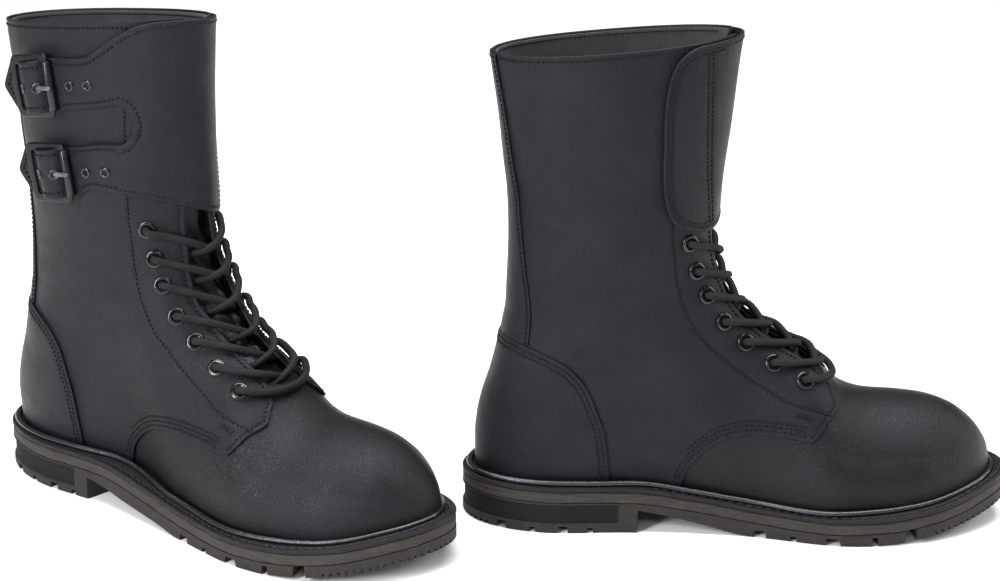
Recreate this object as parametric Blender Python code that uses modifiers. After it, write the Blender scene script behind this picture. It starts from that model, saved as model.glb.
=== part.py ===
"""Fire boots: a pair of high black leather boots with laces, an ankle gaiter and two buckled straps.

Each boot is built as its separate pieces.  Every piece of the upper is a sheet that lies on one
shared skin: a loop position s (0 at the back, 0.5 at the front) and a level t (0 at the sole,
1 at the collar).  Lengths are millimetres in the tables and metres in the file.
"""
import bpy
import bmesh
import numpy as np
from math import cos, pi, radians, sin
from mathutils import Vector

MM = 0.001

# ---- where the two boots stand -------------------------------------------------------------
RIGHT_AT = (-0.2830, 0.0870, 32.8)
LEFT_AT = (-0.0210, 0.0030, 0.8)
SHIFT = (0.00245, -0.00115)

# ---- sole ----------------------------------------------------------------------------------
SOLE_LENGTH = 303.0
SOLE_LATERAL = (22, 36, 38.5, 49, 60, 51, 26)
SOLE_MEDIAL = (22, 35.5, 35, 38, 51, 44.5, 24)
TOE_TIP_Y = 2.0
SOLE_X = (0, 60, 95, 130, 165, 200, 230, 260, 285, 305)
SOLE_TOP = (27, 27, 26.5, 22, 17, 15.5, 16.5, 20, 25.5, 30)
HEEL_BREAST = 97.0
ARCH_X = (98.5, 115, 135, 160, 215, 250, 280, 305)
ARCH_Z = (13.0, 10.0, 5.0, 0.0, 0.0, 2.5, 8.0, 13.5)
NOTCHES = ((26, 5, 13, 4), (46, 3, 8, 3), (64, 5, 13, 4), (82, 3, 8, 3), (164, 6, 13, 4),
           (182, 3, 8, 3), (203, 7, 14, 4), (226, 3, 8, 5), (246, 6, 14, 7))
WELT_THICK = 2.6
MIDSOLE_THICK = 6.0
GAP = 0.3
LAYER_GAP = 1.0
INNER_INSET = 18.0

# ---- skin of the upper ---------------------------------------------------------------------
FOOT_X = (7.6, 49, 95, 150, 205, 251, 268, 282, 289, 293, 294.5)
FOOT_LAT = (28, 29.5, 31, 41, 52.5, 45, 36.5, 24.5, 16, 7.5, 0.8)
FOOT_MED = (28, 29, 29, 31.5, 44.5, 39, 32.5, 23.5, 15.5, 8, 0.8)
RIDGE_X = (100, 120, 130, 138.5, 141.5, 147, 154, 162.5, 171.5, 186.5, 196.5, 205,
           213, 225, 242, 257, 271, 282.5, 289.5, 293, 294.5)
RIDGE_Z = (400, 260, 195, 156, 146, 134, 123, 114.5, 107.5, 98, 90, 81.5,
           75.5, 71.3, 69.3, 67.5, 63.3, 55.5, 47, 39.5, 28.9)
BACK_Z = (27.4, 45, 57, 69, 84, 102, 112, 124, 148, 186, 207, 233, 254, 268)
BACK_X = (8.6, 8.6, 9.8, 12.2, 16.6, 21.0, 23.2, 25.6, 26.4, 25.8, 23.7, 21.0, 18.2, 16.2)
FRONT_Z = (100, 114.5, 123, 134, 146, 156, 167, 188, 213, 238, 262, 280)
FRONT_X = (185, 162.5, 154, 147, 141.5, 138.5, 137, 138, 140, 142.3, 145.3, 147.8)
GIRTH_Z = (27, 45, 70, 100, 130, 150, 180, 220, 275)
GIRTH = (27.5, 29.5, 30.5, 31.5, 31.0, 30.5, 31, 32.5, 33.5)
LEVEL_T = (0, .1, .2, .3, .4, .5, .6, .7, .8, .9, 1.0)
LEVEL_BACK_Z = (27.4, 42, 57, 72, 88, 104, 120, 140, 166, 215, 264.5)
LEVEL_FRONT_X = (294.5, 291, 279.5, 255, 226, 199, 175, 154)
LEVEL_FRONT_Z = (123, 150, 213, 275.5)

# ---- leather pieces ------------------------------------------------------------------------
LEATHER = 1.6
VAMP_LIFT = -(LEATHER + LAYER_GAP + 1.6)
STAY_LIFT = -(LEATHER + LAYER_GAP + 0.6)
STAY_THICK = 0.8
OVERLAY_LIFT = LEATHER + LAYER_GAP
FACING_T = (.203, .278, .40, .449, .474, .496, .526, .57, .67, .74, .81, .845, 1.0)
FACING_S = (.306, .335, .40, .434, .455, .461, .452, .434, .436, .441, .452, .456, .455)
ARC_S = (.215, .222, .236, .250, .270, .290, .306)
ARC_T = (.0, .085, .155, .195, .214, .213, .203)
STITCH_T = (.45, .464, .516, .589, .692, .774, .822, .90, 1.0)
STITCH_S = (.342, .338, .322, .320, .330, .340, .347, .347, .352)
BACKSTAY_T = (.52, .65, .75, .85, .92, 1.0)
BACKSTAY_S = (.094, .093, .086, .070, .056, .042)
EYELETS = ((.381, .825), (.384, .789), (.386, .739), (.382, .670), (.376, .593), (.381, .524), (.408, .489))
QUARTER_ROWS = (0, .035, .07, .11, .15, .24, .33, .42, .50, .57, .64, .70, .76, .82, .90, 1)
QUARTER_COLUMNS = (0, .05, .12, .22, .33, .42, .5, .60, .70, .79, .87, .93, 1)
EYELET_HOLE = 2.5
EYELET_BARREL = 3.0
EYELET_FLANGE = 4.3
LACE_RADIUS = 1.4

# ---- gaiter and straps ---------------------------------------------------------------------
GAITER_THICK = 2.0
GAITER_LIFT = GAITER_THICK + LAYER_GAP + 0.4
STRAP_WIDTH = 26.0
BUCKLES = ((62.0, 239.0, 0.15), (69.0, 192.0, 0.13))
STRAP_TIP = 26.5
STRAP_TAPER = 8.5
BUCKLE_TALL = 32.0
BAR = 1.8
BAR_HEIGHT = 6.0
FRAME_PITCH = 0.06
ROLLER_RADIUS = 2.1


# ---- curves --------------------------------------------------------------------------------
def glide(xs, ys, x):
    """Smooth curve through a few stations, with no overshoot."""
    xs = np.asarray(xs, float)
    ys = np.asarray(ys, float)
    h = np.diff(xs)
    d = np.diff(ys) / h
    m = np.zeros(len(xs))
    for k in range(1, len(xs) - 1):
        if d[k - 1] * d[k] > 0:
            w1 = 2 * h[k] + h[k - 1]
            w2 = h[k] + 2 * h[k - 1]
            m[k] = (w1 + w2) / (w1 / d[k - 1] + w2 / d[k])
    m[0] = d[0]
    m[-1] = d[-1]
    x = np.clip(np.asarray(x, float), xs[0], xs[-1])
    k = np.clip(np.searchsorted(xs, x) - 1, 0, len(h) - 1)
    q = (x - xs[k]) / h[k]
    return (ys[k] * (1 + 2 * q) * (1 - q) ** 2 + m[k] * h[k] * q * (1 - q) ** 2
            + ys[k + 1] * q * q * (3 - 2 * q) + m[k + 1] * h[k] * q * q * (q - 1))


def ease(q):
    q = np.clip(q, 0.0, 1.0)
    return q * q * (3 - 2 * q)


def sole_top(x):
    return glide(SOLE_X, SOLE_TOP, x)


def round_end(q, p=2.1):
    return (1 - (1 - np.clip(q, 0, 1)) ** p) ** (1 / p)


def half_width(x, z, lateral):
    """Half width of the upper at a side-view point."""
    foot = glide(FOOT_X, FOOT_LAT if lateral else FOOT_MED, x)
    low = sole_top(x)
    top = glide(RIDGE_X, RIDGE_Z, x)
    rise = np.clip((z - low) / np.maximum(top - low, 1e-3), 0, 1)
    p = glide((100, 170, 225, 294), (2.0, 2.0, 2.3, 2.3), x)
    belly = 1 + 0.05 * np.sin(pi * np.clip(rise / 0.55, 0, 1))
    arch = foot * belly * (1 - rise ** p) ** (1 / 2.1)
    back = glide(BACK_Z, BACK_X, z)
    front = glide(FRONT_Z, FRONT_X, z)
    half = (front - back) / 2
    leg = glide(GIRTH_Z, GIRTH, z) * round_end((x - back) / (50 + (half - 50) * ease((z - 90) / 60)))
    closed = ease((z - 95) / 20)
    leg = leg * (round_end((front - x) / half) * closed + 1 - closed)
    blend = ease((x - 95) / 55) * (1 - ease((z - 108) / 50))
    return leg * (1 - blend) + arch * blend


def level(t):
    """Back and front ends of one level loop."""
    zb = glide(LEVEL_T, LEVEL_BACK_Z, t)
    xb = glide(BACK_Z, BACK_X, zb)
    foot_x = glide(LEVEL_T[:8], LEVEL_FRONT_X, t)
    leg_z = glide(LEVEL_T[7:], LEVEL_FRONT_Z, t)
    up = t > LEVEL_T[7]
    xf = np.where(up, glide(FRONT_Z, FRONT_X, leg_z), foot_x)
    zf = np.where(up, leg_z, glide(RIDGE_X, RIDGE_Z, foot_x))
    return xb, zb, xf, zf


def skin(s, t, lift=0.0):
    """Point of the upper at loop position s and level t, lifted along the outward normal."""
    s, t = np.broadcast_arrays(np.asarray(s, float), np.asarray(t, float))
    if np.any(np.asarray(lift) != 0.0):
        e = 0.003
        ds = skin(s + e, t) - skin(s - e, t)
        dt = skin(s, np.minimum(t + e, 1)) - skin(s, np.maximum(t - e, 0))
        n = np.cross(ds, dt)
        n = n / np.maximum(np.linalg.norm(n, axis=-1, keepdims=True), 1e-9)
        return skin(s, t) + n * np.broadcast_to(lift, s.shape)[..., None]
    s = s % 1.0
    xb, zb, xf, zf = level(t)
    u = (1 - np.cos(2 * pi * s)) / 2
    x = xb + (xf - xb) * u
    z = zb + (zf - zb) * u
    sag = sole_top(x) + 1.6 - (27.4 + 1.5 * u)
    z = z + sag * np.clip(1 - t / 0.35, 0, 1) ** 2
    edge = np.abs(np.sin(2 * pi * s))
    lat = np.clip(half_width(x, z, True), 4 * edge, 72 * edge)
    med = np.clip(half_width(x, z, False), 4 * edge, 72 * edge)
    return np.stack([x, np.where(s < 0.5, -lat, med), z], -1)


def arch(x, turn, lift=0.0):
    """Point of the toe box: station x along the foot, turn -1 outer feather edge to 1 inner."""
    x, turn = np.broadcast_arrays(np.asarray(x, float), np.asarray(turn, float))
    if np.any(np.asarray(lift) != 0.0):
        e = 0.02
        dx = arch(np.minimum(x + 0.4, 294.45), turn) - arch(x - 0.4, turn)
        da = arch(x, np.minimum(turn + e, 1)) - arch(x, np.maximum(turn - e, -1))
        n = np.cross(dx, da)
        n = n / np.maximum(np.linalg.norm(n, axis=-1, keepdims=True), 1e-9)
        return arch(x, turn) + n * np.broadcast_to(lift, x.shape)[..., None]
    low = sole_top(x) + 1.6
    top = glide(RIDGE_X, RIDGE_Z, x)
    z = low + (top - low) * np.cos(np.abs(turn) * pi / 2)
    edge = np.minimum(np.abs(turn) * 3, 1) * 60
    lat = np.minimum(half_width(x, z, True), edge)
    med = np.minimum(half_width(x, z, False), edge)
    return np.stack([x, np.where(turn < 0, -lat, med), z], -1)


def side_point(x, z, lift=0.0):
    """Point on the outer side of the leg at side-view position x, z."""
    e = 0.5
    w = half_width(np.asarray(x, float), np.asarray(z, float), True)
    wx = (half_width(x + e, z, True) - half_width(x - e, z, True)) / (2 * e)
    wz = (half_width(x, z + e, True) - half_width(x, z - e, True)) / (2 * e)
    n = np.array([-wx, -1.0, -wz])
    n = n / np.linalg.norm(n)
    return np.array([x, -w, z]) + n * lift, n


def sole_edge(angle, inset=0.0):
    """Plan outline of the sole; angle 0 at the heel, pi at the toe, outer side first."""
    ring = np.array([0.0] + [-v for v in SOLE_LATERAL] + [TOE_TIP_Y] + list(SOLE_MEDIAL[::-1]))

    def at(a):
        q = (a / (2 * pi) * 16) % 16
        k = np.floor(q).astype(int)
        f = q - k
        p0, p1, p2, p3 = (ring[(k + j) % 16] for j in (-1, 0, 1, 2))
        y = 0.5 * (2 * p1 + (p2 - p0) * f + (2 * p0 - 5 * p1 + 4 * p2 - p3) * f ** 2
                   + (3 * p1 - p0 - 3 * p2 + p3) * f ** 3)
        return np.stack([SOLE_LENGTH / 2 * (1 - np.cos(a)), y], -1)

    angle = np.asarray(angle, float)
    p = at(angle)
    d = at(angle + 0.01) - at(angle - 0.01)
    n = np.stack([-d[..., 1], d[..., 0]], -1)
    n = n / np.linalg.norm(n, axis=-1, keepdims=True)
    return p + n * inset


# ---- scene set-up --------------------------------------------------------------------------
for old in list(bpy.data.objects):
    bpy.data.objects.remove(old)
for old in list(bpy.data.collections):
    bpy.data.collections.remove(old)

boots = bpy.data.collections.new("fire_boots")
helpers = bpy.data.collections.new("cutters")
bpy.context.scene.collection.children.link(boots)
bpy.context.scene.collection.children.link(helpers)


def material(name, colour, rough, metal=0.0):
    m = bpy.data.materials.new(name)
    m.use_nodes = True
    b = m.node_tree.nodes["Principled BSDF"]
    b.inputs["Base Color"].default_value = (*colour, 1)
    b.inputs["Roughness"].default_value = rough
    b.inputs["Metallic"].default_value = metal
    return m


LOOKS = {
    "leather": ((0.022, 0.022, 0.026), 0.42, 0.0),
    "rubber": ((0.020, 0.019, 0.018), 0.75, 0.0),
    "midsole": ((0.065, 0.055, 0.048), 0.80, 0.0),
    "lining": ((0.060, 0.060, 0.062), 0.90, 0.0),
    "board": ((0.250, 0.180, 0.110), 0.90, 0.0),
    "steel": ((0.500, 0.500, 0.500), 0.35, 1.0),
    "enamel": ((0.012, 0.012, 0.013), 0.25, 0.0),
    "cord": ((0.015, 0.015, 0.016), 0.85, 0.0),
}


class Foot:
    """Places canonical right-boot points in the world, mirrored for the left boot."""

    def __init__(self, name, at, mirror):
        x, y, yaw = at
        self.name = name
        self.mirror = mirror
        a = radians(yaw)
        flip = -1.0 if mirror else 1.0
        self.origin = np.array([x + SHIFT[0], y + SHIFT[1], 0.0])
        self.axes = np.array([[cos(a), -sin(a), 0], [flip * sin(a), flip * cos(a), 0], [0, 0, 1]])

    def world(self, p):
        return self.origin + (np.asarray(p, float) * MM) @ self.axes

    def turn(self, v):
        return np.asarray(v, float) @ self.axes

    def mesh(self, name, verts, faces, look, pivot=None, hidden=False):
        w = self.world(verts)
        at = np.zeros(3) if pivot is None else self.world(pivot)
        if self.mirror:
            faces = [tuple(reversed(f)) for f in faces]
        me = bpy.data.meshes.new(self.name + name)
        me.from_pydata((w - at).tolist(), [], [tuple(int(i) for i in f) for f in faces])
        bm = bmesh.new()
        bm.from_mesh(me)
        bmesh.ops.remove_doubles(bm, verts=bm.verts, dist=2e-5)
        if all(len(e.link_faces) == 2 for e in bm.edges):
            bmesh.ops.recalc_face_normals(bm, faces=bm.faces)
        bm.to_mesh(me)
        bm.free()
        ob = bpy.data.objects.new(self.name + name, me)
        ob.location = Vector(at)
        (helpers if hidden else boots).objects.link(ob)
        if hidden:
            ob.hide_render = True
            ob.display_type = "WIRE"
        else:
            me.materials.append(material(self.name + name + "_" + look, *LOOKS[look]))
        return ob


def thicken(ob, thick, centred=False):
    m = ob.modifiers.new("thickness", "SOLIDIFY")
    m.thickness = thick * MM
    m.offset = 0.0 if centred else -1.0
    m.use_even_offset = centred
    return m


def cut(ob, tool, operation="DIFFERENCE"):
    m = ob.modifiers.new("cut", "BOOLEAN")
    m.operation = operation
    m.solver = "EXACT"
    m.object = tool


def grid_faces(n, m, keep=None):
    out = []
    for i in range(n - 1):
        for j in range(m - 1):
            if keep is None or keep(i, j):
                a = i * m + j
                out.append((a, a + 1, a + m + 1, a + m))
    return out


def coons(bottom, top, left, right, n, m):
    """Fill four edge curves with a grid; each curve maps 0..1 to (s, t)."""
    h = np.asarray(n, float) if np.ndim(n) else np.linspace(0, 1, n)
    h = h[:, None, None]
    v = np.asarray(m, float) if np.ndim(m) else np.linspace(0, 1, m)
    v = v[None, :, None]
    b = np.array([bottom(k) for k in h[:, 0, 0]])[:, None, :]
    t = np.array([top(k) for k in h[:, 0, 0]])[:, None, :]
    lf = np.array([left(k) for k in v[0, :, 0]])[None, :, :]
    rt = np.array([right(k) for k in v[0, :, 0]])[None, :, :]
    c00, c10, c01, c11 = b[0, 0], b[-1, 0], t[0, 0], t[-1, 0]
    return ((1 - v) * b + v * t + (1 - h) * lf + h * rt
            - ((1 - h) * (1 - v) * c00 + h * (1 - v) * c10 + (1 - h) * v * c01 + h * v * c11))


# ---- sole pieces ---------------------------------------------------------------------------
def plate(foot, name, look, inset, low, high, stations=26, start=0.0, end=pi):
    """Flat-sided plate following the sole outline between two heights that vary along the foot."""
    a = np.linspace(start, end, stations)
    return plate_at(foot, name, look, inset, low, high, a)


def plate_at(foot, name, look, inset, low, high, a):
    outer = sole_edge(a, inset)
    inner = sole_edge(2 * pi - a, inset)
    n = len(a)
    xs = (outer[:, 0] + inner[:, 0]) / 2
    verts = []
    for height in (low, high):
        z = height(xs)
        verts += [(xs[k], outer[k, 1], z[k]) for k in range(n)]
        verts += [(xs[k], inner[k, 1], z[k]) for k in range(n)]
    faces = []
    for k in range(n - 1):
        faces.append((k, n + k, n + k + 1, k + 1))
        faces.append((2 * n + k, 2 * n + k + 1, 3 * n + k + 1, 3 * n + k))
        faces.append((k, k + 1, 2 * n + k + 1, 2 * n + k))
        faces.append((n + k + 1, n + k, 3 * n + k, 3 * n + k + 1))
    faces.append((0, 2 * n, 3 * n, n))
    faces.append((n - 1, 2 * n - 1, 4 * n - 1, 3 * n - 1))
    return foot.mesh(name, verts, faces, look)


def box_faces(k):
    return [tuple(k + i for i in f) for f in
            ((0, 3, 2, 1), (4, 5, 6, 7), (0, 1, 5, 4), (1, 2, 6, 5), (2, 3, 7, 6), (3, 0, 4, 7))]


def angle_at(x):
    return float(np.arccos(1 - 2 * x / SOLE_LENGTH))


def outsole(foot):
    under = WELT_THICK + MIDSOLE_THICK + 2 * GAP
    marks = [HEEL_BREAST, ARCH_X[0], 160.0, 215.0]
    a = sorted(list(np.linspace(0.16, pi - 0.16, 22)) + [angle_at(x) for x in marks])
    a = np.array([0.035, 0.09] + a + [pi - 0.09, pi - 0.035])

    def low(x):
        return np.where(x < HEEL_BREAST + 0.3, 0.0, glide(ARCH_X, ARCH_Z, x))

    ob = plate_at(foot, "outsole", "rubber", 0.0, low, lambda x: sole_top(x) - under, a)
    verts = []
    faces = []
    for x, wide, deep, high in NOTCHES:
        for lateral in (True, False):
            ang = angle_at(x)
            p = sole_edge(ang if lateral else 2 * pi - ang)
            s = -1 if lateral else 1
            y0 = p[1] - s * deep
            y1 = p[1] + s * 12
            y0, y1 = min(y0, y1), max(y0, y1)
            faces += box_faces(len(verts))
            for z, grow in ((-3.0, 0.7), (float(high), 0.0)):
                verts += [(x - wide / 2 - grow, y0, z), (x + wide / 2 + grow, y0, z),
                          (x + wide / 2 + grow, y1, z), (x - wide / 2 - grow, y1, z)]
    tool = foot.mesh("outsole_notches", verts, faces, "rubber", hidden=True)
    cut(ob, tool)
    return ob


def welt(foot):
    """Welt plate with the rounded bead that runs round the foot of the upper."""
    n = 44
    k = np.arange(n) / n
    fold = np.abs((k + 0.5) % 1.0 - 0.5)
    wrap = glide((0, .15, .19, .22, .27, .5), (3.4, 3.4, 1.4, 1.2, -0.6, -0.8), fold)
    rings = []
    for z in (-WELT_THICK, 0.0):
        p = sole_edge(2 * pi * k)
        rings.append([(x, y, sole_top(x) + z) for x, y in p])
    for out, z in ((3.0, 0.1), (2.8, 2.2), (1.6, 3.2), (0.6, 2.6), (0.4, 0.05), (-5.0, 0.0)):
        p = skin(k, 0.0, wrap + out)
        rings.append([(x, y, sole_top(x) + z) for x, y, _ in p])
    verts = [v for r in rings for v in r]
    faces = []
    for r in range(len(rings) - 1):
        for k in range(n):
            q = (k + 1) % n
            faces.append((r * n + k, r * n + q, (r + 1) * n + q, (r + 1) * n + k))
    top = (len(rings) - 1) * n
    for k in range(1, n // 2 - 1):
        faces.append((top + k, top + k + 1, top + n - k - 1, top + n - k))
        faces.append((k, n - k, n - k - 1, k + 1))
    h = n // 2
    faces += [(top, top + 1, top + n - 1), (top + h - 1, top + h, top + h + 1)]
    faces += [(0, n - 1, 1), (h - 1, h + 1, h)]
    return foot.mesh("welt", verts, faces, "leather")


def sole_stack(foot):
    outsole(foot)
    plate(foot, "midsole", "midsole", 0.0, lambda x: sole_top(x) - WELT_THICK - GAP - MIDSOLE_THICK,
          lambda x: sole_top(x) - WELT_THICK - GAP, start=0.035, end=pi - 0.035)
    welt(foot)
    x0, x1 = 58.0, 168.0
    verts = []
    for x in np.linspace(x0, x1, 9):
        half = 7.5 - 2.0 * sin(pi * (x - x0) / (x1 - x0))
        for y, z in ((-half, 0.3), (half, 0.3), (half, 1.5), (-half, 1.5)):
            verts.append((x, y, sole_top(x) + z))
    faces = [(0, 1, 2, 3), (32, 35, 34, 33)]
    for k in range(8):
        for j in range(4):
            faces.append((4 * k + j, 4 * k + 4 + j, 4 * k + 4 + (j + 1) % 4, 4 * k + (j + 1) % 4))
    foot.mesh("shank", verts, faces, "steel")
    for name, look, z0, z1 in (("insole_board", "board", 2.4, 4.2), ("puncture_plate", "steel", 4.8, 5.4),
                               ("footbed", "lining", 6.0, 10.0)):
        plate(foot, name, look, INNER_INSET, lambda x, q=z0: sole_top(x) + q,
              lambda x, q=z1: sole_top(x) + q, stations=18, start=0.12, end=pi - 0.12)


# ---- leather pieces ------------------------------------------------------------------------
def sheet(foot, name, st, lift, thick, look="leather", keep=None):
    """Leather sheet from a grid of (s, t) places on the skin."""
    p = skin(st[..., 0], st[..., 1], lift)
    n, m = p.shape[:2]
    ob = foot.mesh(name, p.reshape(-1, 3), [tuple(reversed(f)) for f in grid_faces(n, m, keep)], look)
    thicken(ob, thick)
    return ob


def mirror_s(st, inner):
    out = st.copy()
    if inner:
        out[..., 0] = 1 - out[..., 0]
        out = out[::-1]
    return out


def line(a, b):
    a = np.array(a, float)
    b = np.array(b, float)
    return lambda k: a + (b - a) * k


def quarter_grid(n, m, kink=0.5):
    s0 = 0.004

    def bottom(h):
        if h <= kink:
            return np.array([s0 + (ARC_S[0] - s0) * h / kink, 0.0])
        k = (h - kink) / (1 - kink) * (len(ARC_S) - 1)
        ks = range(len(ARC_S))
        return np.array([float(glide(ks, ARC_S, k)), float(glide(ks, ARC_T, k))])

    def right(v):
        t = FACING_T[0] + (1 - FACING_T[0]) * v
        return np.array([float(glide(FACING_T, FACING_S, t)), t])

    return coons(bottom, line((s0, 1.0), (FACING_S[-1], 1.0)), line((s0, 0.0), (s0, 1.0)), right, n, m)


def ring_at(profile, centre, normal, sides):
    """Lathe a closed profile of (radius, height) round a normal."""
    n = np.asarray(normal, float)
    a = np.cross(n, (0.3, 0.1, 1.0))
    a = a / np.linalg.norm(a)
    b = np.cross(n, a)
    verts = []
    for k in range(sides):
        q = 2 * pi * k / sides
        d = a * cos(q) + b * sin(q)
        verts += [centre + d * r + n * h for r, h in profile]
    m = len(profile)
    faces = []
    for k in range(sides):
        c = (k + 1) % sides
        for j in range(m):
            i = (j + 1) % m
            faces.append((k * m + j, c * m + j, c * m + i, k * m + i))
    return verts, faces


def post_at(radius, low, high, centre, normal, sides):
    verts, faces = ring_at(((radius, low), (radius, high)), centre, normal, sides)
    faces = [f for k, f in enumerate(faces) if k % 2 == 0]
    faces.append(tuple(2 * k for k in reversed(range(sides))))
    faces.append(tuple(2 * k + 1 for k in range(sides)))
    return verts, faces


def skin_frame(s, t):
    p = skin(s, t)
    q = skin(s, t, 1.0)
    return p, q - p


def gather(parts):
    verts = []
    faces = []
    for v, f in parts:
        k = len(verts)
        verts += list(v)
        faces += [tuple(k + i for i in g) for g in f]
    return verts, faces


def eyelet_tools(foot, tag, inner):
    spots = [skin_frame(1 - s if inner else s, t) for s, t in EYELETS]
    wide = gather([post_at(EYELET_BARREL + 0.6, -4.5, 3.0, p, n, 8) for p, n in spots])
    fit = gather([post_at(EYELET_BARREL - 0.35, -4.5, 3.0, p, n, 8) for p, n in spots])
    low = STAY_LIFT - STAY_THICK - 0.4
    profile = ((EYELET_HOLE, low), (EYELET_BARREL, low), (EYELET_BARREL, 1.3),
               (EYELET_FLANGE, 1.3), (EYELET_HOLE, 2.0))
    rings = gather([ring_at(profile, p, n, 8) for p, n in spots])
    return (foot.mesh("punch_" + tag, *wide, "steel", hidden=True),
            foot.mesh("pierce_" + tag, *fit, "steel", hidden=True),
            foot.mesh("eyelets_" + tag, *rings, "steel", hidden=True))


def side_pieces(foot, tag, inner):
    wide, fit, rings = eyelet_tools(foot, tag, inner)
    st = mirror_s(quarter_grid(QUARTER_COLUMNS, QUARTER_ROWS), inner)
    quarter = sheet(foot, "quarter_" + tag, st, 0.0, LEATHER)
    cut(quarter, wide)

    def back_edge(v):
        t = 0.468 + (0.862 - 0.468) * v
        return np.array([float(glide(STITCH_T, STITCH_S, t)) + 0.006, t])

    def front_edge(v):
        t = 0.468 + (0.862 - 0.468) * v
        return np.array([min(float(glide(FACING_T, FACING_S, t)) - 0.006, 0.43 + (t - 0.468) * 0.6), t])

    low, high = line(back_edge(0), front_edge(0)), line(back_edge(1), front_edge(1))
    st = mirror_s(coons(low, high, back_edge, front_edge, 4, 13), inner)
    stay = sheet(foot, "eyelet_stay_" + tag, st, STAY_LIFT, STAY_THICK, "enamel")
    cut(stay, fit)
    cut(stay, rings, "UNION")


def vamp_like(foot, name, look, lift, thick, rear, n, m, turn_end=1.0, tuck=0.0):
    turn = np.linspace(-turn_end, turn_end, m)
    back = rear(np.abs(turn))
    rows = []
    for k in np.linspace(0, 1, n):
        x = back + (294.4 - back) * np.sin(k * pi / 2)
        rows.append(arch(x, turn, lift - tuck * max(1 - 3.5 * k, 0)))
    rows = np.array(rows)
    ob = foot.mesh(name, rows.reshape(-1, 3), grid_faces(n, m), look)
    thicken(ob, thick)
    return ob


def upper(foot):
    vamp_like(foot, "vamp", "leather", VAMP_LIFT, LEATHER,
              lambda q: glide((0, .2, .36, .5, .65, .8, 1), (203, 200, 198, 184, 168, 142, 114), q), 10, 15,
              tuck=1.0)
    vamp_like(foot, "toe_cap", "steel", -6.9, 1.4, lambda q: 240 + 0 * q, 7, 11, turn_end=0.93)
    side_pieces(foot, "lateral", False)
    side_pieces(foot, "medial", True)

    t = np.linspace(0.524, 0.997, 10)
    half = glide(BACKSTAY_T, BACKSTAY_S, t)
    k = np.linspace(-1, 1, 5)
    st = np.stack([k[:, None] * half[None, :], 0 * k[:, None] + t[None, :]], -1)
    sheet(foot, "backstay", st, OVERLAY_LIFT + 0.5, LEATHER)

    h = np.linspace(-1, 1, 11)
    top = 0.518 - 0.088 * np.abs(h) ** 5
    v = np.linspace(0.0, 1, 6)
    st = np.stack([(0.162 - 0.006 * v[None, :]) * h[:, None], v[None, :] * top[:, None]], -1)
    sheet(foot, "heel_counter", st, OVERLAY_LIFT, LEATHER)
    st = np.stack([0.150 * h[:, None] + 0 * v[None, :], 0.03 + v[None, :] * (top[:, None] - 0.06)], -1)
    sheet(foot, "heel_stiffener", st, VAMP_LIFT + 0.6, 1.2, "board")

    h = np.linspace(-1, 1, 17)
    t = np.concatenate([np.linspace(0.085, 0.40, 4), np.linspace(0.5, 0.997, 6)])
    half = np.minimum(glide((0, .2, .40, .55, .7, 1.0), (.235, .27, .325, .315, .325, .340), t), 0.345)
    deep = np.where(t < 0.36, -7.3, -5.9)
    st = np.stack([h[:, None] * half[None, :], 0 * h[:, None] + t[None, :]], -1)
    sheet(foot, "lining", st, 0 * h[:, None] + deep[None, :], 1.0, "lining")

    t = np.linspace(0.425, 0.985, 14)
    half = glide((.42, .5, .6, .9, 1), (.115, .15, .155, .155, .15), t)
    k = np.linspace(-1, 1, 7)
    deep = glide((.42, .45, .49, 1), (-6.5, -7.0, -8.9, -8.9), t)
    st = np.stack([0.5 + k[:, None] * half[None, :], 0 * k[:, None] + t[None, :]], -1)
    sheet(foot, "tongue", st, 0 * k[:, None] + deep[None, :], LEATHER)


# ---- lace ----------------------------------------------------------------------------------
def facing_s(t):
    return float(glide(FACING_T, FACING_S, t))


def lace_knots():
    """Way points of the lace as (s, t, lift), from the hidden outer end to the hidden inner end."""
    deep = STAY_LIFT - STAY_THICK - 0.4 - 2 * GAP - LACE_RADIUS
    side = [0, 1, 0, 1, 0, 1, 0]

    def put(s, t, lift, inner):
        return (1 - s if inner else s, t, lift)

    def out_of(k, inner):
        s, t = EYELETS[k]
        return [put(s, t, deep - 0.1, inner), put(s, t, -4.4, inner), put(s, t, 2.9, inner),
                put(s + 0.012, t - 0.002, 4.4, inner)]

    def cross(k, inner, over):
        """From eyelet k on the given side down to eyelet k + 1 on the other side."""
        s, t = EYELETS[k]
        s2, t2 = EYELETS[k + 1]
        e1 = facing_s(t - 0.25 * (t - t2))
        e2 = facing_s(t2 + 0.25 * (t - t2))
        mid = 1.0 if over else -2.6
        return [put((s + e1) / 2, t - 0.10 * (t - t2), 2.5, inner), put(e1, t - 0.25 * (t - t2), 2.6, inner),
                put(0.5, (t + t2) / 2, mid, False), put(e2 - 0.001, t2 + 0.25 * (t - t2), deep, not inner),
                put((s2 + e2) / 2, t2 + 0.1 * (t - t2), deep - 0.1, not inner)]

    def strand(first_inner, over_first):
        pts = [put(.41, .915, deep, first_inner), put(.395, .87, deep, first_inner)]
        inner = first_inner
        for k in range(6):
            pts += out_of(k, inner)
            pts += cross(k, inner, (k % 2 == 0) == over_first)
            inner = not inner
        pts += out_of(6, inner)
        return pts, inner

    a, inner = strand(False, True)
    b, _ = strand(True, False)
    s, t = EYELETS[6]
    bar = [put(0.445, t - 0.002, 2.1, inner),
           put(0.475, t - 0.004, 2.0, inner),
           put(0.5, t - 0.005, 1.9, False),
           put(0.475, t - 0.004, 2.0, not inner),
           put(0.445, t - 0.002, 2.1, not inner)]
    return a + bar + b[::-1]


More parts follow.
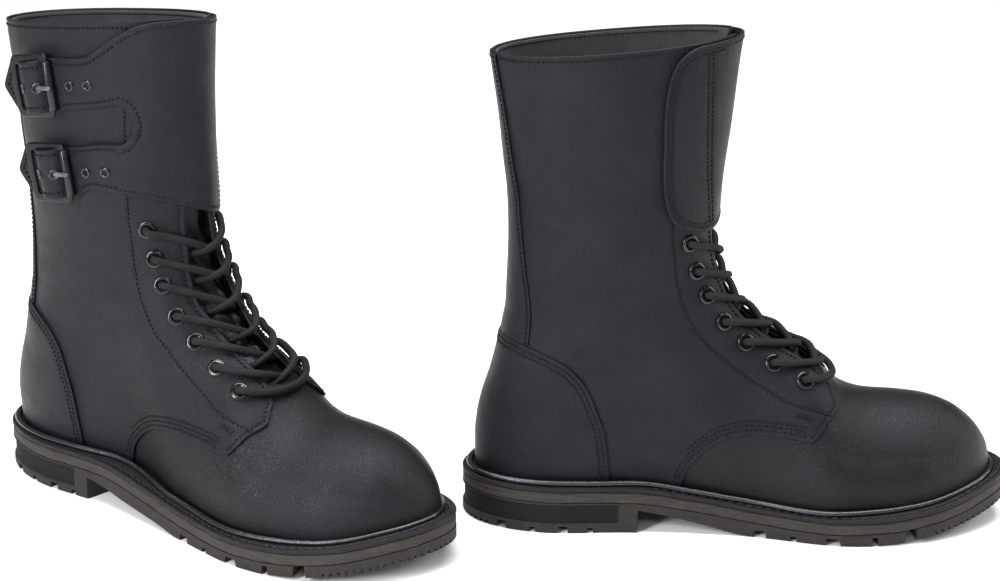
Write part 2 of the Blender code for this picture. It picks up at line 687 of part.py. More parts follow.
def tube(path, radius, sides):
    verts = []
    side = None
    for k, p in enumerate(path):
        d = path[min(k + 1, len(path) - 1)] - path[max(k - 1, 0)]
        d = d / np.linalg.norm(d)
        if side is None:
            side = np.cross(d, (0.2, 1.0, 0.1))
        side = side - d * (side @ d)
        side = side / np.linalg.norm(side)
        up = np.cross(d, side)
        for j in range(sides):
            a = 2 * pi * j / sides
            verts.append(p + radius * (side * cos(a) + up * sin(a)))
    faces = []
    for k in range(len(path) - 1):
        for j in range(sides):
            i = (j + 1) % sides
            faces.append((k * sides + j, k * sides + i, (k + 1) * sides + i, (k + 1) * sides + j))
    faces.append(tuple(reversed(range(sides))))
    faces.append(tuple(range((len(path) - 1) * sides, len(path) * sides)))
    return verts, faces


def lace(foot):
    knots = np.array(lace_knots())
    pts = skin(knots[:, 0], knots[:, 1], knots[:, 2] + 1e-6)
    verts, faces = tube(pts, LACE_RADIUS, 5)
    return foot.mesh("lace", verts, faces, "cord")


# ---- gaiter, straps and buckles ------------------------------------------------------------
def buckle_frame_axes(x, z, rise):
    """Origin and axes at a buckle: along the strap to the front, across the strap, outward."""
    p, n = side_point(x, z)
    q, _ = side_point(x + 4, z + 4 * rise)
    along = q - p
    along = along - n * (along @ n)
    along = along / np.linalg.norm(along)
    return p, along, np.cross(along, n) * -1.0, n


STRAP_E = (-26, -20, -14, -8, -4, 0, 4, 8, 14, 20)
STRAP_N = (5.0, 4.4, 3.95, 6.3, 8.9, 10.4, 8.6, 4.0, 1.4, 0.9)


def strap_mid(e):
    """Height of the strap's middle over the buckle's tangent plane."""
    return float(glide(STRAP_E, STRAP_N, e))


def gaiter(foot):
    """One piece of leather: inner end panel, front wrap and two straps."""
    cols = (.681, .66, .63, .60, .565, .53, .50, .47, .44, .41, .385, .367)
    low_s = (.15, .27, .34, .39, .46, .51, .59, .64, .665, .681)
    low_t = (.832, .855, .857, .856, .851, .842, .842, .842, .850, .872)
    top_s = (.15, .21, .26, .326, .374, .40, .42, .62, .64, .666, .681)
    top_t = (.970, .970, .971, .984, .9935, .997, .998, .998, .996, .988, .965)
    verts = []
    rows = 7
    mid_low, mid_high = 2, 4
    bot, lo, hi, top = [], [], [], []
    for s in cols:
        b = float(glide(low_s, low_t, s))
        t = float(glide(top_s, top_t, s))
        w1 = .893 + .004 * (s > .4)
        w2 = .937
        bot.append(b)
        lo.append(w1)
        hi.append(w2)
        top.append(t)
    for k, s in enumerate(cols):
        knots = (bot[k], lo[k], hi[k], top[k])
        for j in range(rows):
            t = float(np.interp(j, (0, mid_low, mid_high, rows - 1), knots))
            verts.append(skin(s, t, GAITER_LIFT))
    n_main = len(cols)
    faces = grid_faces(n_main, rows)
    for (bx, bz, rise), j0, j1, edge in ((BUCKLES[0], mid_high, rows - 1, 0), (BUCKLES[1], 0, mid_low, 1)):
        base = [(n_main - 1) * rows + j for j in range(j0, j1 + 1)]
        o, along, across, n = buckle_frame_axes(bx, bz, rise)
        m = j1 - j0 + 1
        prev = base
        for s in (.335, .305, .28):
            b = float(glide(low_s, low_t, s))
            t = float(glide(top_s, top_t, s))
            w1 = .893 + (s - .36) * .06
            w2 = .934 + (s - .36) * .09
            lo_t, hi_t = (w2, t) if edge == 0 else (b, w1)
            new = []
            for j in range(m):
                new.append(len(verts))
                verts.append(skin(s, lo_t + (hi_t - lo_t) * j / (m - 1), GAITER_LIFT))
            for j in range(m - 1):
                faces.append((prev[j], prev[j + 1], new[j + 1], new[j]))
            prev = new
        for e in (14, 9.5, 6.5, 3.5, 0, -3.5, -7, -10.5, -14, -18, -26):
            half = STRAP_WIDTH / 2
            new = []
            for j in range(m):
                k = 2 * j / (m - 1) - 1
                ee = e
                if e == -26:
                    ee = -STRAP_TIP + STRAP_TAPER * abs(k)
                p = o + along * ee + across * (half * k) + n * (strap_mid(ee) + GAITER_THICK / 2)
                new.append(len(verts))
                verts.append(p)
            for j in range(m - 1):
                faces.append((prev[j], prev[j + 1], new[j + 1], new[j]))
            prev = new
    ob = foot.mesh("gaiter", np.array(verts), faces, "leather")
    thicken(ob, GAITER_THICK)
    holes = []
    for bx, bz, rise in BUCKLES:
        o, along, across, n = buckle_frame_axes(bx, bz, rise)
        lean = along * 0.62 + n * 0.79
        lean = lean / np.linalg.norm(lean)
        holes.append(post_at(3.2, -4.0, 4.0, o + along * 2.9 + n * 8.4, lean, 8))
        holes.append(post_at(2.4, -3.5, 3.5, o - along * 9.6 + n * 5.4, n - along * 0.4, 8))
        for e in (22.0, 35.0):
            p, q = side_point(bx + e, bz + e * rise)
            holes.append(post_at(2.4, -0.5, 5.5, p, q, 8))
    tool = foot.mesh("strap_holes", *gather(holes), "steel", hidden=True)
    cut(ob, tool)
    return ob


def prism(profile, half, o, along, across, n, lift=0.0):
    """Extrude a closed profile of (along, out) by half the width each way."""
    verts = []
    for side in (-half, half):
        verts += [o + along * a + n * (b + lift) + across * side for a, b in profile]
    m = len(profile)
    faces = [tuple(range(m)), tuple(range(2 * m - 1, m - 1, -1))]
    for k in range(m):
        q = (k + 1) % m
        faces.append((k, m + k, m + q, q))
    return verts, faces


def ribbon(path, thick):
    """Closed profile of a strip that follows a path."""
    path = np.asarray(path, float)
    left = []
    right = []
    for k in range(len(path)):
        d = path[min(k + 1, len(path) - 1)] - path[max(k - 1, 0)]
        d = d / np.linalg.norm(d)
        q = np.array([-d[1], d[0]]) * thick / 2
        left.append(path[k] + q)
        right.append(path[k] - q)
    return left + right[::-1]


def buckle(foot, tag, spec):
    x, z, rise = spec
    o, along, across, n = buckle_frame_axes(x, z, rise)
    bar = o + n * BAR_HEIGHT
    lean = along - n * FRAME_PITCH
    lean = lean / np.linalg.norm(lean)
    out = n + along * FRAME_PITCH
    out = out / np.linalg.norm(out)

    ea = (-14.4, -12.2, -BAR / 2, BAR / 2, 12.5, 14.3)
    eb = (-BUCKLE_TALL / 2, -13.2, -6.0, 6.0, 13.2, BUCKLE_TALL / 2)
    verts = [bar + lean * a + across * b for a in ea for b in eb]

    def keep(i, j):
        return i in (0, 2, 4) or j in (0, 4)

    faces = [tuple(reversed(f)) for f in grid_faces(6, 6, keep)]
    ob = foot.mesh("buckle_frame_" + tag, verts, faces, "enamel", pivot=bar)
    thicken(ob, BAR, centred=True)

    front = bar + lean * 13.4
    profile = ((1.5, -12.9), (ROLLER_RADIUS, -12.9), (ROLLER_RADIUS, 12.9), (1.5, 12.9))
    v, f = ring_at(profile, front, across, 12)
    foot.mesh("buckle_roller_" + tag, v, f, "enamel", pivot=front)

    ring = [(1.62 * cos(q), 1.62 * sin(q)) for q in np.linspace(radians(30), radians(330), 8)]
    outer = [(2.45 * cos(q), 2.45 * sin(q)) for q in np.linspace(radians(330), radians(80), 8)]
    profile = ring + outer + [(4.0, 3.9), (16.0, 3.9), (16.8, 3.2), (16.3, 2.4), (4.6, 2.35), (2.4, 1.6)]
    v, f = prism(profile, 1.2, bar, lean, across, out)
    foot.mesh("buckle_prong_" + tag, v, f, "enamel", pivot=bar)

    swing = np.linspace(radians(250), radians(470), 7)
    turn = [(2.15 * cos(q), 2.15 * sin(q) + BAR_HEIGHT) for q in swing]
    tail = [(e, float(side_sag(x, z, rise, e)) + 1.6) for e in (-25, -18, -10)]
    lower = tail + [(-4.0, 2.2)]
    upper_layer = [(-4.5, 5.6)]
    for e in (-10, -18, -25):
        upper_layer.append((e, float(side_sag(x, z, rise, e)) + 2.9))
    path = lower + turn + upper_layer
    v, f = prism(ribbon(path, 1.0), 7.0, o, along, across, n)
    chape = foot.mesh("chape_" + tag, v, f, "leather")
    slot = [(-4.5, BAR_HEIGHT - 4.0), (5.0, BAR_HEIGHT - 4.0),
            (5.0, BAR_HEIGHT + 5.0), (-4.5, BAR_HEIGHT + 5.0)]
    v, f = prism(slot, 1.7, o, along, across, n)
    tool = foot.mesh("chape_slot_" + tag, v, f, "steel", hidden=True)
    cut(chape, tool)


def side_sag(x, z, rise, e):
    """How far the leg falls away from the buckle's tangent plane."""
    o, along, across, n = buckle_frame_axes(x, z, rise)
    p, _ = side_point(x + e, z + e * rise)
    return (p - o) @ n


for foot in (Foot("right_", RIGHT_AT, False), Foot("left_", LEFT_AT, True)):
    sole_stack(foot)
    upper(foot)
    lace(foot)
    gaiter(foot)
    for label, spec in (("upper", BUCKLES[0]), ("lower", BUCKLES[1])):
        buckle(foot, label, spec)
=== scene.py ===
"""Fire boots: the looks of the pair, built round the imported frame.

Every leather piece lies on one shared skin: a loop position s (0 at the back, 0.5 at the front)
and a level t (0 at the sole, 1 at the collar).  Shapes are worked out in millimetres for a right
boot (x forward, y inward, z up) and then placed, mirrored for the left one.
"""
import bpy
import numpy as np
from math import cos, pi, radians, sin
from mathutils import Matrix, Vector, geometry, kdtree


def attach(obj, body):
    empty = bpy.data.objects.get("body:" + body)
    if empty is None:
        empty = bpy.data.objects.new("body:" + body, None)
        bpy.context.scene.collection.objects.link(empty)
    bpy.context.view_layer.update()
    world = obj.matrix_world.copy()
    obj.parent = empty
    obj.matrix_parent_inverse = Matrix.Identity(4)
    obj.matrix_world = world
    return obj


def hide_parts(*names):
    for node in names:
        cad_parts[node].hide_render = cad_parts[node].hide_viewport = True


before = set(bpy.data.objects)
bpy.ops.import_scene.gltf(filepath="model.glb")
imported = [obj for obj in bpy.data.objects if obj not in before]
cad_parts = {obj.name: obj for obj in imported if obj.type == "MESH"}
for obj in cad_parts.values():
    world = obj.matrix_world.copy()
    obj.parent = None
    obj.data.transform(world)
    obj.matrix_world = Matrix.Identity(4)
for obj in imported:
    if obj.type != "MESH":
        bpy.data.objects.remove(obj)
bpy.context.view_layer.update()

MM = 0.001

# ---- where the two boots stand and the camera ----------------------------------------------
SHIFT = (0.00245, -0.00115)
RIGHT_AT = (-0.2830, 0.0870, 32.8)
LEFT_AT = (-0.0210, 0.0030, 0.8)
CAMERA_AT = (0.0, -1.220, 0.567)
CAMERA_PITCH = 19.7
CAMERA_LENS = 85.4

# ---- sole ----------------------------------------------------------------------------------
SOLE_LENGTH = 303.0
SOLE_LATERAL = (22, 36, 38.5, 49, 60, 51, 26)
SOLE_MEDIAL = (22, 35.5, 35, 38, 51, 44.5, 24)
TOE_TIP_Y = 2.0
SOLE_X = (0, 60, 95, 130, 165, 200, 230, 260, 285, 305)
SOLE_TOP = (27, 27, 26.5, 22, 17, 15.5, 16.5, 20, 25.5, 30)
ARCH_X = (98.5, 115, 135, 160, 215, 250, 280, 305)
ARCH_Z = (13.0, 10.0, 5.0, 0.0, 0.0, 2.5, 8.0, 13.5)
WELT_THICK = 2.6
MIDSOLE_THICK = 6.0
GAP = 0.3
LAYER_GAP = 1.0

# ---- skin of the upper ---------------------------------------------------------------------
FOOT_X = (7.6, 49, 95, 150, 205, 251, 268, 282, 289, 293, 294.5)
FOOT_LAT = (28, 29.5, 31, 41, 52.5, 45, 36.5, 24.5, 16, 7.5, 0.8)
FOOT_MED = (28, 29, 29, 31.5, 44.5, 39, 32.5, 23.5, 15.5, 8, 0.8)
RIDGE_X = (100, 120, 130, 138.5, 141.5, 147, 154, 162.5, 171.5, 186.5, 196.5, 205,
           213, 225, 242, 257, 271, 282.5, 289.5, 293, 294.5)
RIDGE_Z = (400, 260, 195, 156, 146, 134, 123, 114.5, 107.5, 98, 90, 81.5,
           75.5, 71.3, 69.3, 67.5, 63.3, 55.5, 47, 39.5, 28.9)
BACK_Z = (27.4, 45, 57, 69, 84, 102, 112, 124, 148, 186, 207, 233, 254, 268)
BACK_X = (8.6, 8.6, 9.8, 12.2, 16.6, 21.0, 23.2, 25.6, 26.4, 25.8, 23.7, 21.0, 18.2, 16.2)
FRONT_Z = (100, 114.5, 123, 134, 146, 156, 167, 188, 213, 238, 262, 280)
FRONT_X = (185, 162.5, 154, 147, 141.5, 138.5, 137, 138, 140, 142.3, 145.3, 147.8)
GIRTH_Z = (27, 45, 70, 100, 130, 150, 180, 220, 275)
GIRTH = (27.5, 29.5, 30.5, 31.5, 31.0, 30.5, 31, 32.5, 33.5)
LEVEL_T = (0, .1, .2, .3, .4, .5, .6, .7, .8, .9, 1.0)
LEVEL_BACK_Z = (27.4, 42, 57, 72, 88, 104, 120, 140, 166, 215, 264.5)
LEVEL_FRONT_X = (294.5, 291, 279.5, 255, 226, 199, 175, 154)
LEVEL_FRONT_Z = (123, 150, 213, 275.5)

# ---- leather pieces ------------------------------------------------------------------------
LEATHER = 1.6
STAY_LIFT = -(LEATHER + LAYER_GAP + 0.6)
STAY_THICK = 0.8
FACING_T = (.203, .278, .40, .449, .474, .496, .526, .57, .67, .74, .81, .845, 1.0)
FACING_S = (.306, .335, .40, .434, .455, .461, .452, .434, .436, .441, .452, .456, .455)
ARC_S = (.215, .222, .236, .250, .270, .290, .306)
ARC_T = (.0, .085, .155, .195, .214, .213, .203)
STITCH_T = (.45, .464, .516, .589, .692, .774, .822, .90, 1.0)
STITCH_S = (.342, .338, .322, .320, .330, .340, .347, .347, .352)
BACKSTAY_T = (.52, .65, .75, .85, .92, 1.0)
BACKSTAY_S = (.094, .093, .086, .070, .056, .042)
EYELETS = ((.381, .825), (.384, .789), (.386, .739), (.382, .670),
           (.376, .593), (.381, .524), (.408, .489))
LACE_RADIUS = 1.4

# ---- gaiter and straps ---------------------------------------------------------------------
GAITER_THICK = 2.0
STRAP_WIDTH = 26.0
BUCKLES = ((62.0, 239.0, 0.15), (69.0, 192.0, 0.13))
BAR_HEIGHT = 6.0
FRAME_PITCH = 0.06
ROLLER_RADIUS = 2.1


# ---- curves --------------------------------------------------------------------------------
def glide(xs, ys, x):
    """Smooth curve through a few stations, with no overshoot."""
    xs = np.asarray(xs, float)
    ys = np.asarray(ys, float)
    h = np.diff(xs)
    d = np.diff(ys) / h
    m = np.zeros(len(xs))
    for k in range(1, len(xs) - 1):
        if d[k - 1] * d[k] > 0:
            w1 = 2 * h[k] + h[k - 1]
            w2 = h[k] + 2 * h[k - 1]
            m[k] = (w1 + w2) / (w1 / d[k - 1] + w2 / d[k])
    m[0] = d[0]
    m[-1] = d[-1]
    x = np.clip(np.asarray(x, float), xs[0], xs[-1])
    k = np.clip(np.searchsorted(xs, x) - 1, 0, len(h) - 1)
    q = (x - xs[k]) / h[k]
    return (ys[k] * (1 + 2 * q) * (1 - q) ** 2 + m[k] * h[k] * q * (1 - q) ** 2
            + ys[k + 1] * q * q * (3 - 2 * q) + m[k + 1] * h[k] * q * q * (q - 1))


def ease(q):
    q = np.clip(q, 0.0, 1.0)
    return q * q * (3 - 2 * q)


def sole_top(x):
    return glide(SOLE_X, SOLE_TOP, x)


def round_end(q, p=2.1):
    return (1 - (1 - np.clip(q, 0, 1)) ** p) ** (1 / p)


def half_width(x, z, lateral):
    """Half width of the upper at a side-view point."""
    foot = glide(FOOT_X, FOOT_LAT if lateral else FOOT_MED, x)
    low = sole_top(x)
    top = glide(RIDGE_X, RIDGE_Z, x)
    rise = np.clip((z - low) / np.maximum(top - low, 1e-3), 0, 1)
    p = glide((100, 170, 225, 294), (2.0, 2.0, 2.3, 2.3), x)
    belly = 1 + 0.05 * np.sin(pi * np.clip(rise / 0.55, 0, 1))
    arch = foot * belly * (1 - rise ** p) ** (1 / 2.1)
    back = glide(BACK_Z, BACK_X, z)
    front = glide(FRONT_Z, FRONT_X, z)
    half = (front - back) / 2
    leg = glide(GIRTH_Z, GIRTH, z) * round_end((x - back) / (50 + (half - 50) * ease((z - 90) / 60)))
    closed = ease((z - 95) / 20)
    leg = leg * (round_end((front - x) / half) * closed + 1 - closed)
    blend = ease((x - 95) / 55) * (1 - ease((z - 108) / 50))
    return leg * (1 - blend) + arch * blend


def level(t):
    """Back and front ends of one level loop."""
    zb = glide(LEVEL_T, LEVEL_BACK_Z, t)
    xb = glide(BACK_Z, BACK_X, zb)
    foot_x = glide(LEVEL_T[:8], LEVEL_FRONT_X, t)
    leg_z = glide(LEVEL_T[7:], LEVEL_FRONT_Z, t)
    up = t > LEVEL_T[7]
    xf = np.where(up, glide(FRONT_Z, FRONT_X, leg_z), foot_x)
    zf = np.where(up, leg_z, glide(RIDGE_X, RIDGE_Z, foot_x))
    return xb, zb, xf, zf


def skin(s, t, lift=0.0):
    """Point of the upper at loop position s and level t, lifted along the outward normal."""
    s, t = np.broadcast_arrays(np.asarray(s, float), np.asarray(t, float))
    if np.any(np.asarray(lift) != 0.0):
        e = 0.003
        ds = skin(s + e, t) - skin(s - e, t)
        dt = skin(s, np.minimum(t + e, 1)) - skin(s, np.maximum(t - e, 0))
        n = np.cross(ds, dt)
        n = n / np.maximum(np.linalg.norm(n, axis=-1, keepdims=True), 1e-9)
        return skin(s, t) + n * np.broadcast_to(lift, s.shape)[..., None]
    s = s % 1.0
    xb, zb, xf, zf = level(t)
    u = (1 - np.cos(2 * pi * s)) / 2
    x = xb + (xf - xb) * u
    z = zb + (zf - zb) * u
    sag = sole_top(x) + 1.6 - (27.4 + 1.5 * u)
    z = z + sag * np.clip(1 - t / 0.35, 0, 1) ** 2
    edge = np.abs(np.sin(2 * pi * s))
    lat = np.clip(half_width(x, z, True), 4 * edge, 72 * edge)
    med = np.clip(half_width(x, z, False), 4 * edge, 72 * edge)
    return np.stack([x, np.where(s < 0.5, -lat, med), z], -1)


def arch(x, turn, lift=0.0):
    """Point of the toe box: station x along the foot, turn -1 outer feather edge to 1 inner."""
    x, turn = np.broadcast_arrays(np.asarray(x, float), np.asarray(turn, float))
    if np.any(np.asarray(lift) != 0.0):
        e = 0.02
        dx = arch(np.minimum(x + 0.4, 294.45), turn) - arch(x - 0.4, turn)
        da = arch(x, np.minimum(turn + e, 1)) - arch(x, np.maximum(turn - e, -1))
        n = np.cross(dx, da)
        n = n / np.maximum(np.linalg.norm(n, axis=-1, keepdims=True), 1e-9)
        return arch(x, turn) + n * np.broadcast_to(lift, x.shape)[..., None]
    low = sole_top(x) + 1.6
    top = glide(RIDGE_X, RIDGE_Z, x)
    z = low + (top - low) * np.cos(np.abs(turn) * pi / 2)
    edge = np.minimum(np.abs(turn) * 3, 1) * 60
    lat = np.minimum(half_width(x, z, True), edge)
    med = np.minimum(half_width(x, z, False), edge)
    return np.stack([x, np.where(turn < 0, -lat, med), z], -1)


def side_point(x, z, lift=0.0):
    """Point on the outer side of the leg at side-view position x, z."""
    e = 0.5
    w = half_width(np.asarray(x, float), np.asarray(z, float), True)
    wx = (half_width(x + e, z, True) - half_width(x - e, z, True)) / (2 * e)
    wz = (half_width(x, z + e, True) - half_width(x, z - e, True)) / (2 * e)
    n = np.array([-wx, -1.0, -wz])
    n = n / np.linalg.norm(n)
    return np.array([x, -w, z]) + n * lift, n


def sole_edge(angle, inset=0.0):
    """Plan outline of the sole; angle 0 at the heel, pi at the toe, outer side first."""
    ring = np.array([0.0] + [-v for v in SOLE_LATERAL] + [TOE_TIP_Y] + list(SOLE_MEDIAL[::-1]))

    def at(a):
        q = (a / (2 * pi) * 16) % 16
        k = np.floor(q).astype(int)
        f = q - k
        p0, p1, p2, p3 = (ring[(k + j) % 16] for j in (-1, 0, 1, 2))
        y = 0.5 * (2 * p1 + (p2 - p0) * f + (2 * p0 - 5 * p1 + 4 * p2 - p3) * f ** 2
                   + (3 * p1 - p0 - 3 * p2 + p3) * f ** 3)
        return np.stack([SOLE_LENGTH / 2 * (1 - np.cos(a)), y], -1)

    angle = np.asarray(angle, float)
    p = at(angle)
    d = at(angle + 0.01) - at(angle - 0.01)
    n = np.stack([-d[..., 1], d[..., 0]], -1)
    n = n / np.linalg.norm(n, axis=-1, keepdims=True)
    return p + n * inset


def buckle_frame_axes(x, z, rise):
    """Origin and axes at a buckle: along the strap to the front, across the strap, outward."""
    p, n = side_point(x, z)
    q, _ = side_point(x + 4, z + 4 * rise)
    fore = q - p
    fore = fore - n * (fore @ n)
    fore = fore / np.linalg.norm(fore)
    return p, fore, np.cross(fore, n) * -1.0, n


STRAP_E = (-26, -20, -14, -8, -4, 0, 4, 8, 11, 14, 20)
STRAP_N = (5.0, 4.4, 3.95, 6.3, 8.9, 10.4, 10.0, 7.6, 2.9, 1.1, 0.9)


def strap_mid(e):
    """Height of the strap's middle over the buckle's tangent plane."""
    return float(glide(STRAP_E, STRAP_N, e))


# ---- fine mesh tools -----------------------------------------------------------------------
S_SCALE = 450.0
T_SCALE = 270.0
FINE = 1.7


def unit(v):
    v = np.asarray(v, float)
    return v / np.maximum(np.linalg.norm(v, axis=-1, keepdims=True), 1e-9)


def ripple(p):
    """Slow unevenness of stretched leather, shared by every layer."""
    x, y, z = p[..., 0], p[..., 1], p[..., 2]
    soft = ease((z - 30) / 30)
    wave = (np.sin(x * 0.061 + z * 0.043 + 1.1) + np.sin(z * 0.083 - y * 0.071 + 2.3)
            + np.sin(x * 0.037 - z * 0.097 + y * 0.05 + 0.4))
    fold = np.exp(-((z - 108 - 0.25 * (x - 90)) / 9) ** 2) * np.exp(-((x - 120) / 38) ** 2)
    fold2 = np.exp(-((z - 128 - 0.35 * (x - 90)) / 8) ** 2) * np.exp(-((x - 104) / 40) ** 2)
    return soft * 0.22 * wave - 0.55 * fold - 0.4 * fold2


def skin_at(s, t, lift=0.0):
    """Point and outward normal of the leather surface."""
    s, t = np.broadcast_arrays(np.asarray(s, float), np.asarray(t, float))
    p = skin(s, t)
    n = unit(skin(s, t, 1.0) - p)
    lift = np.broadcast_to(lift, s.shape) + ripple(p)
    return p + n * lift[..., None], n


def inside(poly, pts):
    """Which points lie inside a closed polygon."""
    x, y = pts[:, 0], pts[:, 1]
    hit = np.zeros(len(pts), bool)
    a = poly
    b = np.roll(poly, -1, axis=0)
    for (x0, y0), (x1, y1) in zip(a, b):
        if y0 == y1:
            continue
        hit ^= ((y0 > y) != (y1 > y)) & (x < (x1 - x0) * (y - y0) / (y1 - y0) + x0)
    return hit


def along(points, pitch, closed=False):
    """Even steps along a polyline."""
    p = np.asarray(points, float)
    if closed:
        p = np.vstack([p, p[:1]])
    d = np.concatenate([[0], np.cumsum(np.linalg.norm(np.diff(p, axis=0), axis=1))])
    n = max(int(round(d[-1] / pitch)), 2)
    q = np.linspace(0, d[-1], n + 1)
    out = np.stack([np.interp(q, d, p[:, k]) for k in range(p.shape[1])], -1)
    return out[:-1] if closed else out


def tree_of(points):
    tree = kdtree.KDTree(len(points))
    for i, p in enumerate(points):
        tree.insert(p, i)
    tree.balance()
    return tree


def between(loops, pts):
    """Which points lie inside the first loop and outside the others."""
    keep = inside(loops[0], pts)
    for h in loops[1:]:
        keep &= ~inside(h, pts)
    return keep


def triangulate(loops, pitch, extra=()):
    """Even triangles between flat loops; the points begin with the loops' own, then any extra ones."""
    lo, hi = loops[0].min(0), loops[0].max(0)
    rows = np.arange(lo[1] + pitch * 0.5, hi[1], pitch * 0.866)
    grid = []
    for k, y in enumerate(rows):
        x = np.arange(lo[0] + (pitch * 0.5 if k % 2 else 0.0), hi[0], pitch)
        grid.append(np.stack([x, np.full(len(x), y)], -1))
    grid = np.concatenate(grid)
    grid = grid[between(loops, grid)]
    fixed = np.vstack(list(loops) + ([extra] if len(extra) else []))
    tree = tree_of([(a, b, 0) for a, b in fixed])
    grid = np.array([q for q in grid if tree.find((q[0], q[1], 0))[2] > pitch * 0.55]).reshape(-1, 2)
    pts = np.concatenate([fixed, grid])
    edges = []
    at = 0
    for loop in loops:
        n = len(loop)
        edges += [(at + k, at + (k + 1) % n) for k in range(n)]
        at += n
    out = geometry.delaunay_2d_cdt([Vector(q) for q in pts], edges, [], 0, 1e-5, False)
    v = np.array([tuple(q) for q in out[0]])
    f = np.array([tuple(q) for q in out[2]], int)
    f = f[between(loops, v[f].mean(1))]
    area = np.cross(v[f[:, 1]] - v[f[:, 0]], v[f[:, 2]] - v[f[:, 0]])
    f[area < 0] = f[area < 0][:, ::-1]
    return v, f


def fill(outline, pitch=FINE, holes=()):
    """Even triangles inside a flat outline with holes, its edges stepped evenly too."""
    loops = [along(outline, pitch * 0.75, True)] + [along(h, pitch * 0.6, True) for h in holes]
    return triangulate(loops, pitch)


def boundary_loops(faces):
    """Directed boundary loops of a triangle or quad mesh."""
    seen = set()
    for f in faces:
        for k in range(len(f)):
            seen.add((int(f[k]), int(f[(k + 1) % len(f)])))
    after = {a: b for a, b in seen if (b, a) not in seen}
    loops = []
    while after:
        start = next(iter(after))
        loop = [start]
        q = after.pop(start)
        while q != start and q in after:
            loop.append(q)
            q = after.pop(q)
        loops.append(loop)
    return loops


def shell(p, n, faces, thick, roll=0.55):
    """Closed leather piece with rolled edges, from its outer surface, normals and faces."""
    r = min(roll, thick * 0.48)
    profile = [(r * sin(a) - r, r * (1 - cos(a))) for a in np.linspace(0, pi / 2, 4)[1:]]
    profile += [(r * cos(a) - r, thick - r + r * sin(a)) for a in np.linspace(0, pi / 2, 4)[:-1]]
    verts = [p, p - n * thick]
    out = [tuple(int(i) for i in f) for f in faces]
    m = len(p)
    out += [tuple(m + int(i) for i in reversed(f)) for f in faces]
    at = 2 * m
    for loop in boundary_loops(faces):
        k = len(loop)
        q = p[loop]
        tangent = unit(np.roll(q, -1, axis=0) - np.roll(q, 1, axis=0))
        side = unit(np.cross(tangent, n[loop]))
        rings = [list(loop)]
        for a, b in profile:
            verts.append(q + side * (a + r) - n[loop] * b)
            rings.append(list(range(at, at + k)))
            at += k
        rings.append([m + i for i in loop])
        for a, b in zip(rings[:-1], rings[1:]):
            for i in range(k):
                j = (i + 1) % k
                out.append((a[j], a[i], b[i], b[j]))
    return np.concatenate(verts), out


def press(p, n, seams, depth=0.42, wide=1.15):
    """Sink a surface a little along its seams."""
    if not seams:
        return p
    tree = tree_of(np.concatenate([along(q, 1.2) for q, _ in seams]))
    d = np.array([tree.find(q)[2] for q in p])
    return p - n * (depth * np.exp(-(d / wide) ** 2))[:, None]


def inset(st, dist):
    """Shift a polyline of (s, t) places sideways over the skin by some millimetres, to its left."""
    st = np.asarray(st, float)
    steps = max(int(abs(dist) / 2) + 1, 1)
    for _ in range(steps):
        p, n = skin_at(st[:, 0], st[:, 1])
        e = 0.002
        ps = (skin(st[:, 0] + e, st[:, 1]) - skin(st[:, 0] - e, st[:, 1])) / (2 * e)
        hi = np.minimum(st[:, 1] + e, 1)
        lo = np.maximum(st[:, 1] - e, 0)
        pt = (skin(st[:, 0], hi) - skin(st[:, 0], lo)) / (hi - lo)[:, None]
        tangent = unit(np.gradient(p, axis=0))
        move = unit(np.cross(n, tangent)) * dist / steps
        a, b, c = (ps * ps).sum(1), (ps * pt).sum(1), (pt * pt).sum(1)
        u, v = (ps * move).sum(1), (pt * move).sum(1)
        det = a * c - b * b
        st = st + np.stack([(c * u - b * v) / det, (a * v - b * u) / det], -1)
    return st


def seam(st, lift, shift=0.0):
    """A stitch line on the skin, as points and normals."""
    st = np.asarray(st, float)
    st = along(st * (S_SCALE, T_SCALE), 2.0) / (S_SCALE, T_SCALE)
    if shift:
        st = inset(st, shift)
    return skin_at(st[:, 0], np.clip(st[:, 1], 0, 1), lift)


def ring_walls(count, n):
    """Quads between a stack of closed rings of n points."""
    faces = []
    for k in range(count - 1):
        for j in range(n):
            i = (j + 1) % n
            faces.append((k * n + j, k * n + i, (k + 1) * n + i, (k + 1) * n + j))
    return faces


def rod_faces(count, n):
    """Faces of a closed rod: walls between its rings and a cap at each end."""
    caps = [tuple(reversed(range(n))), tuple(range((count - 1) * n, count * n))]
    return ring_walls(count, n) + caps


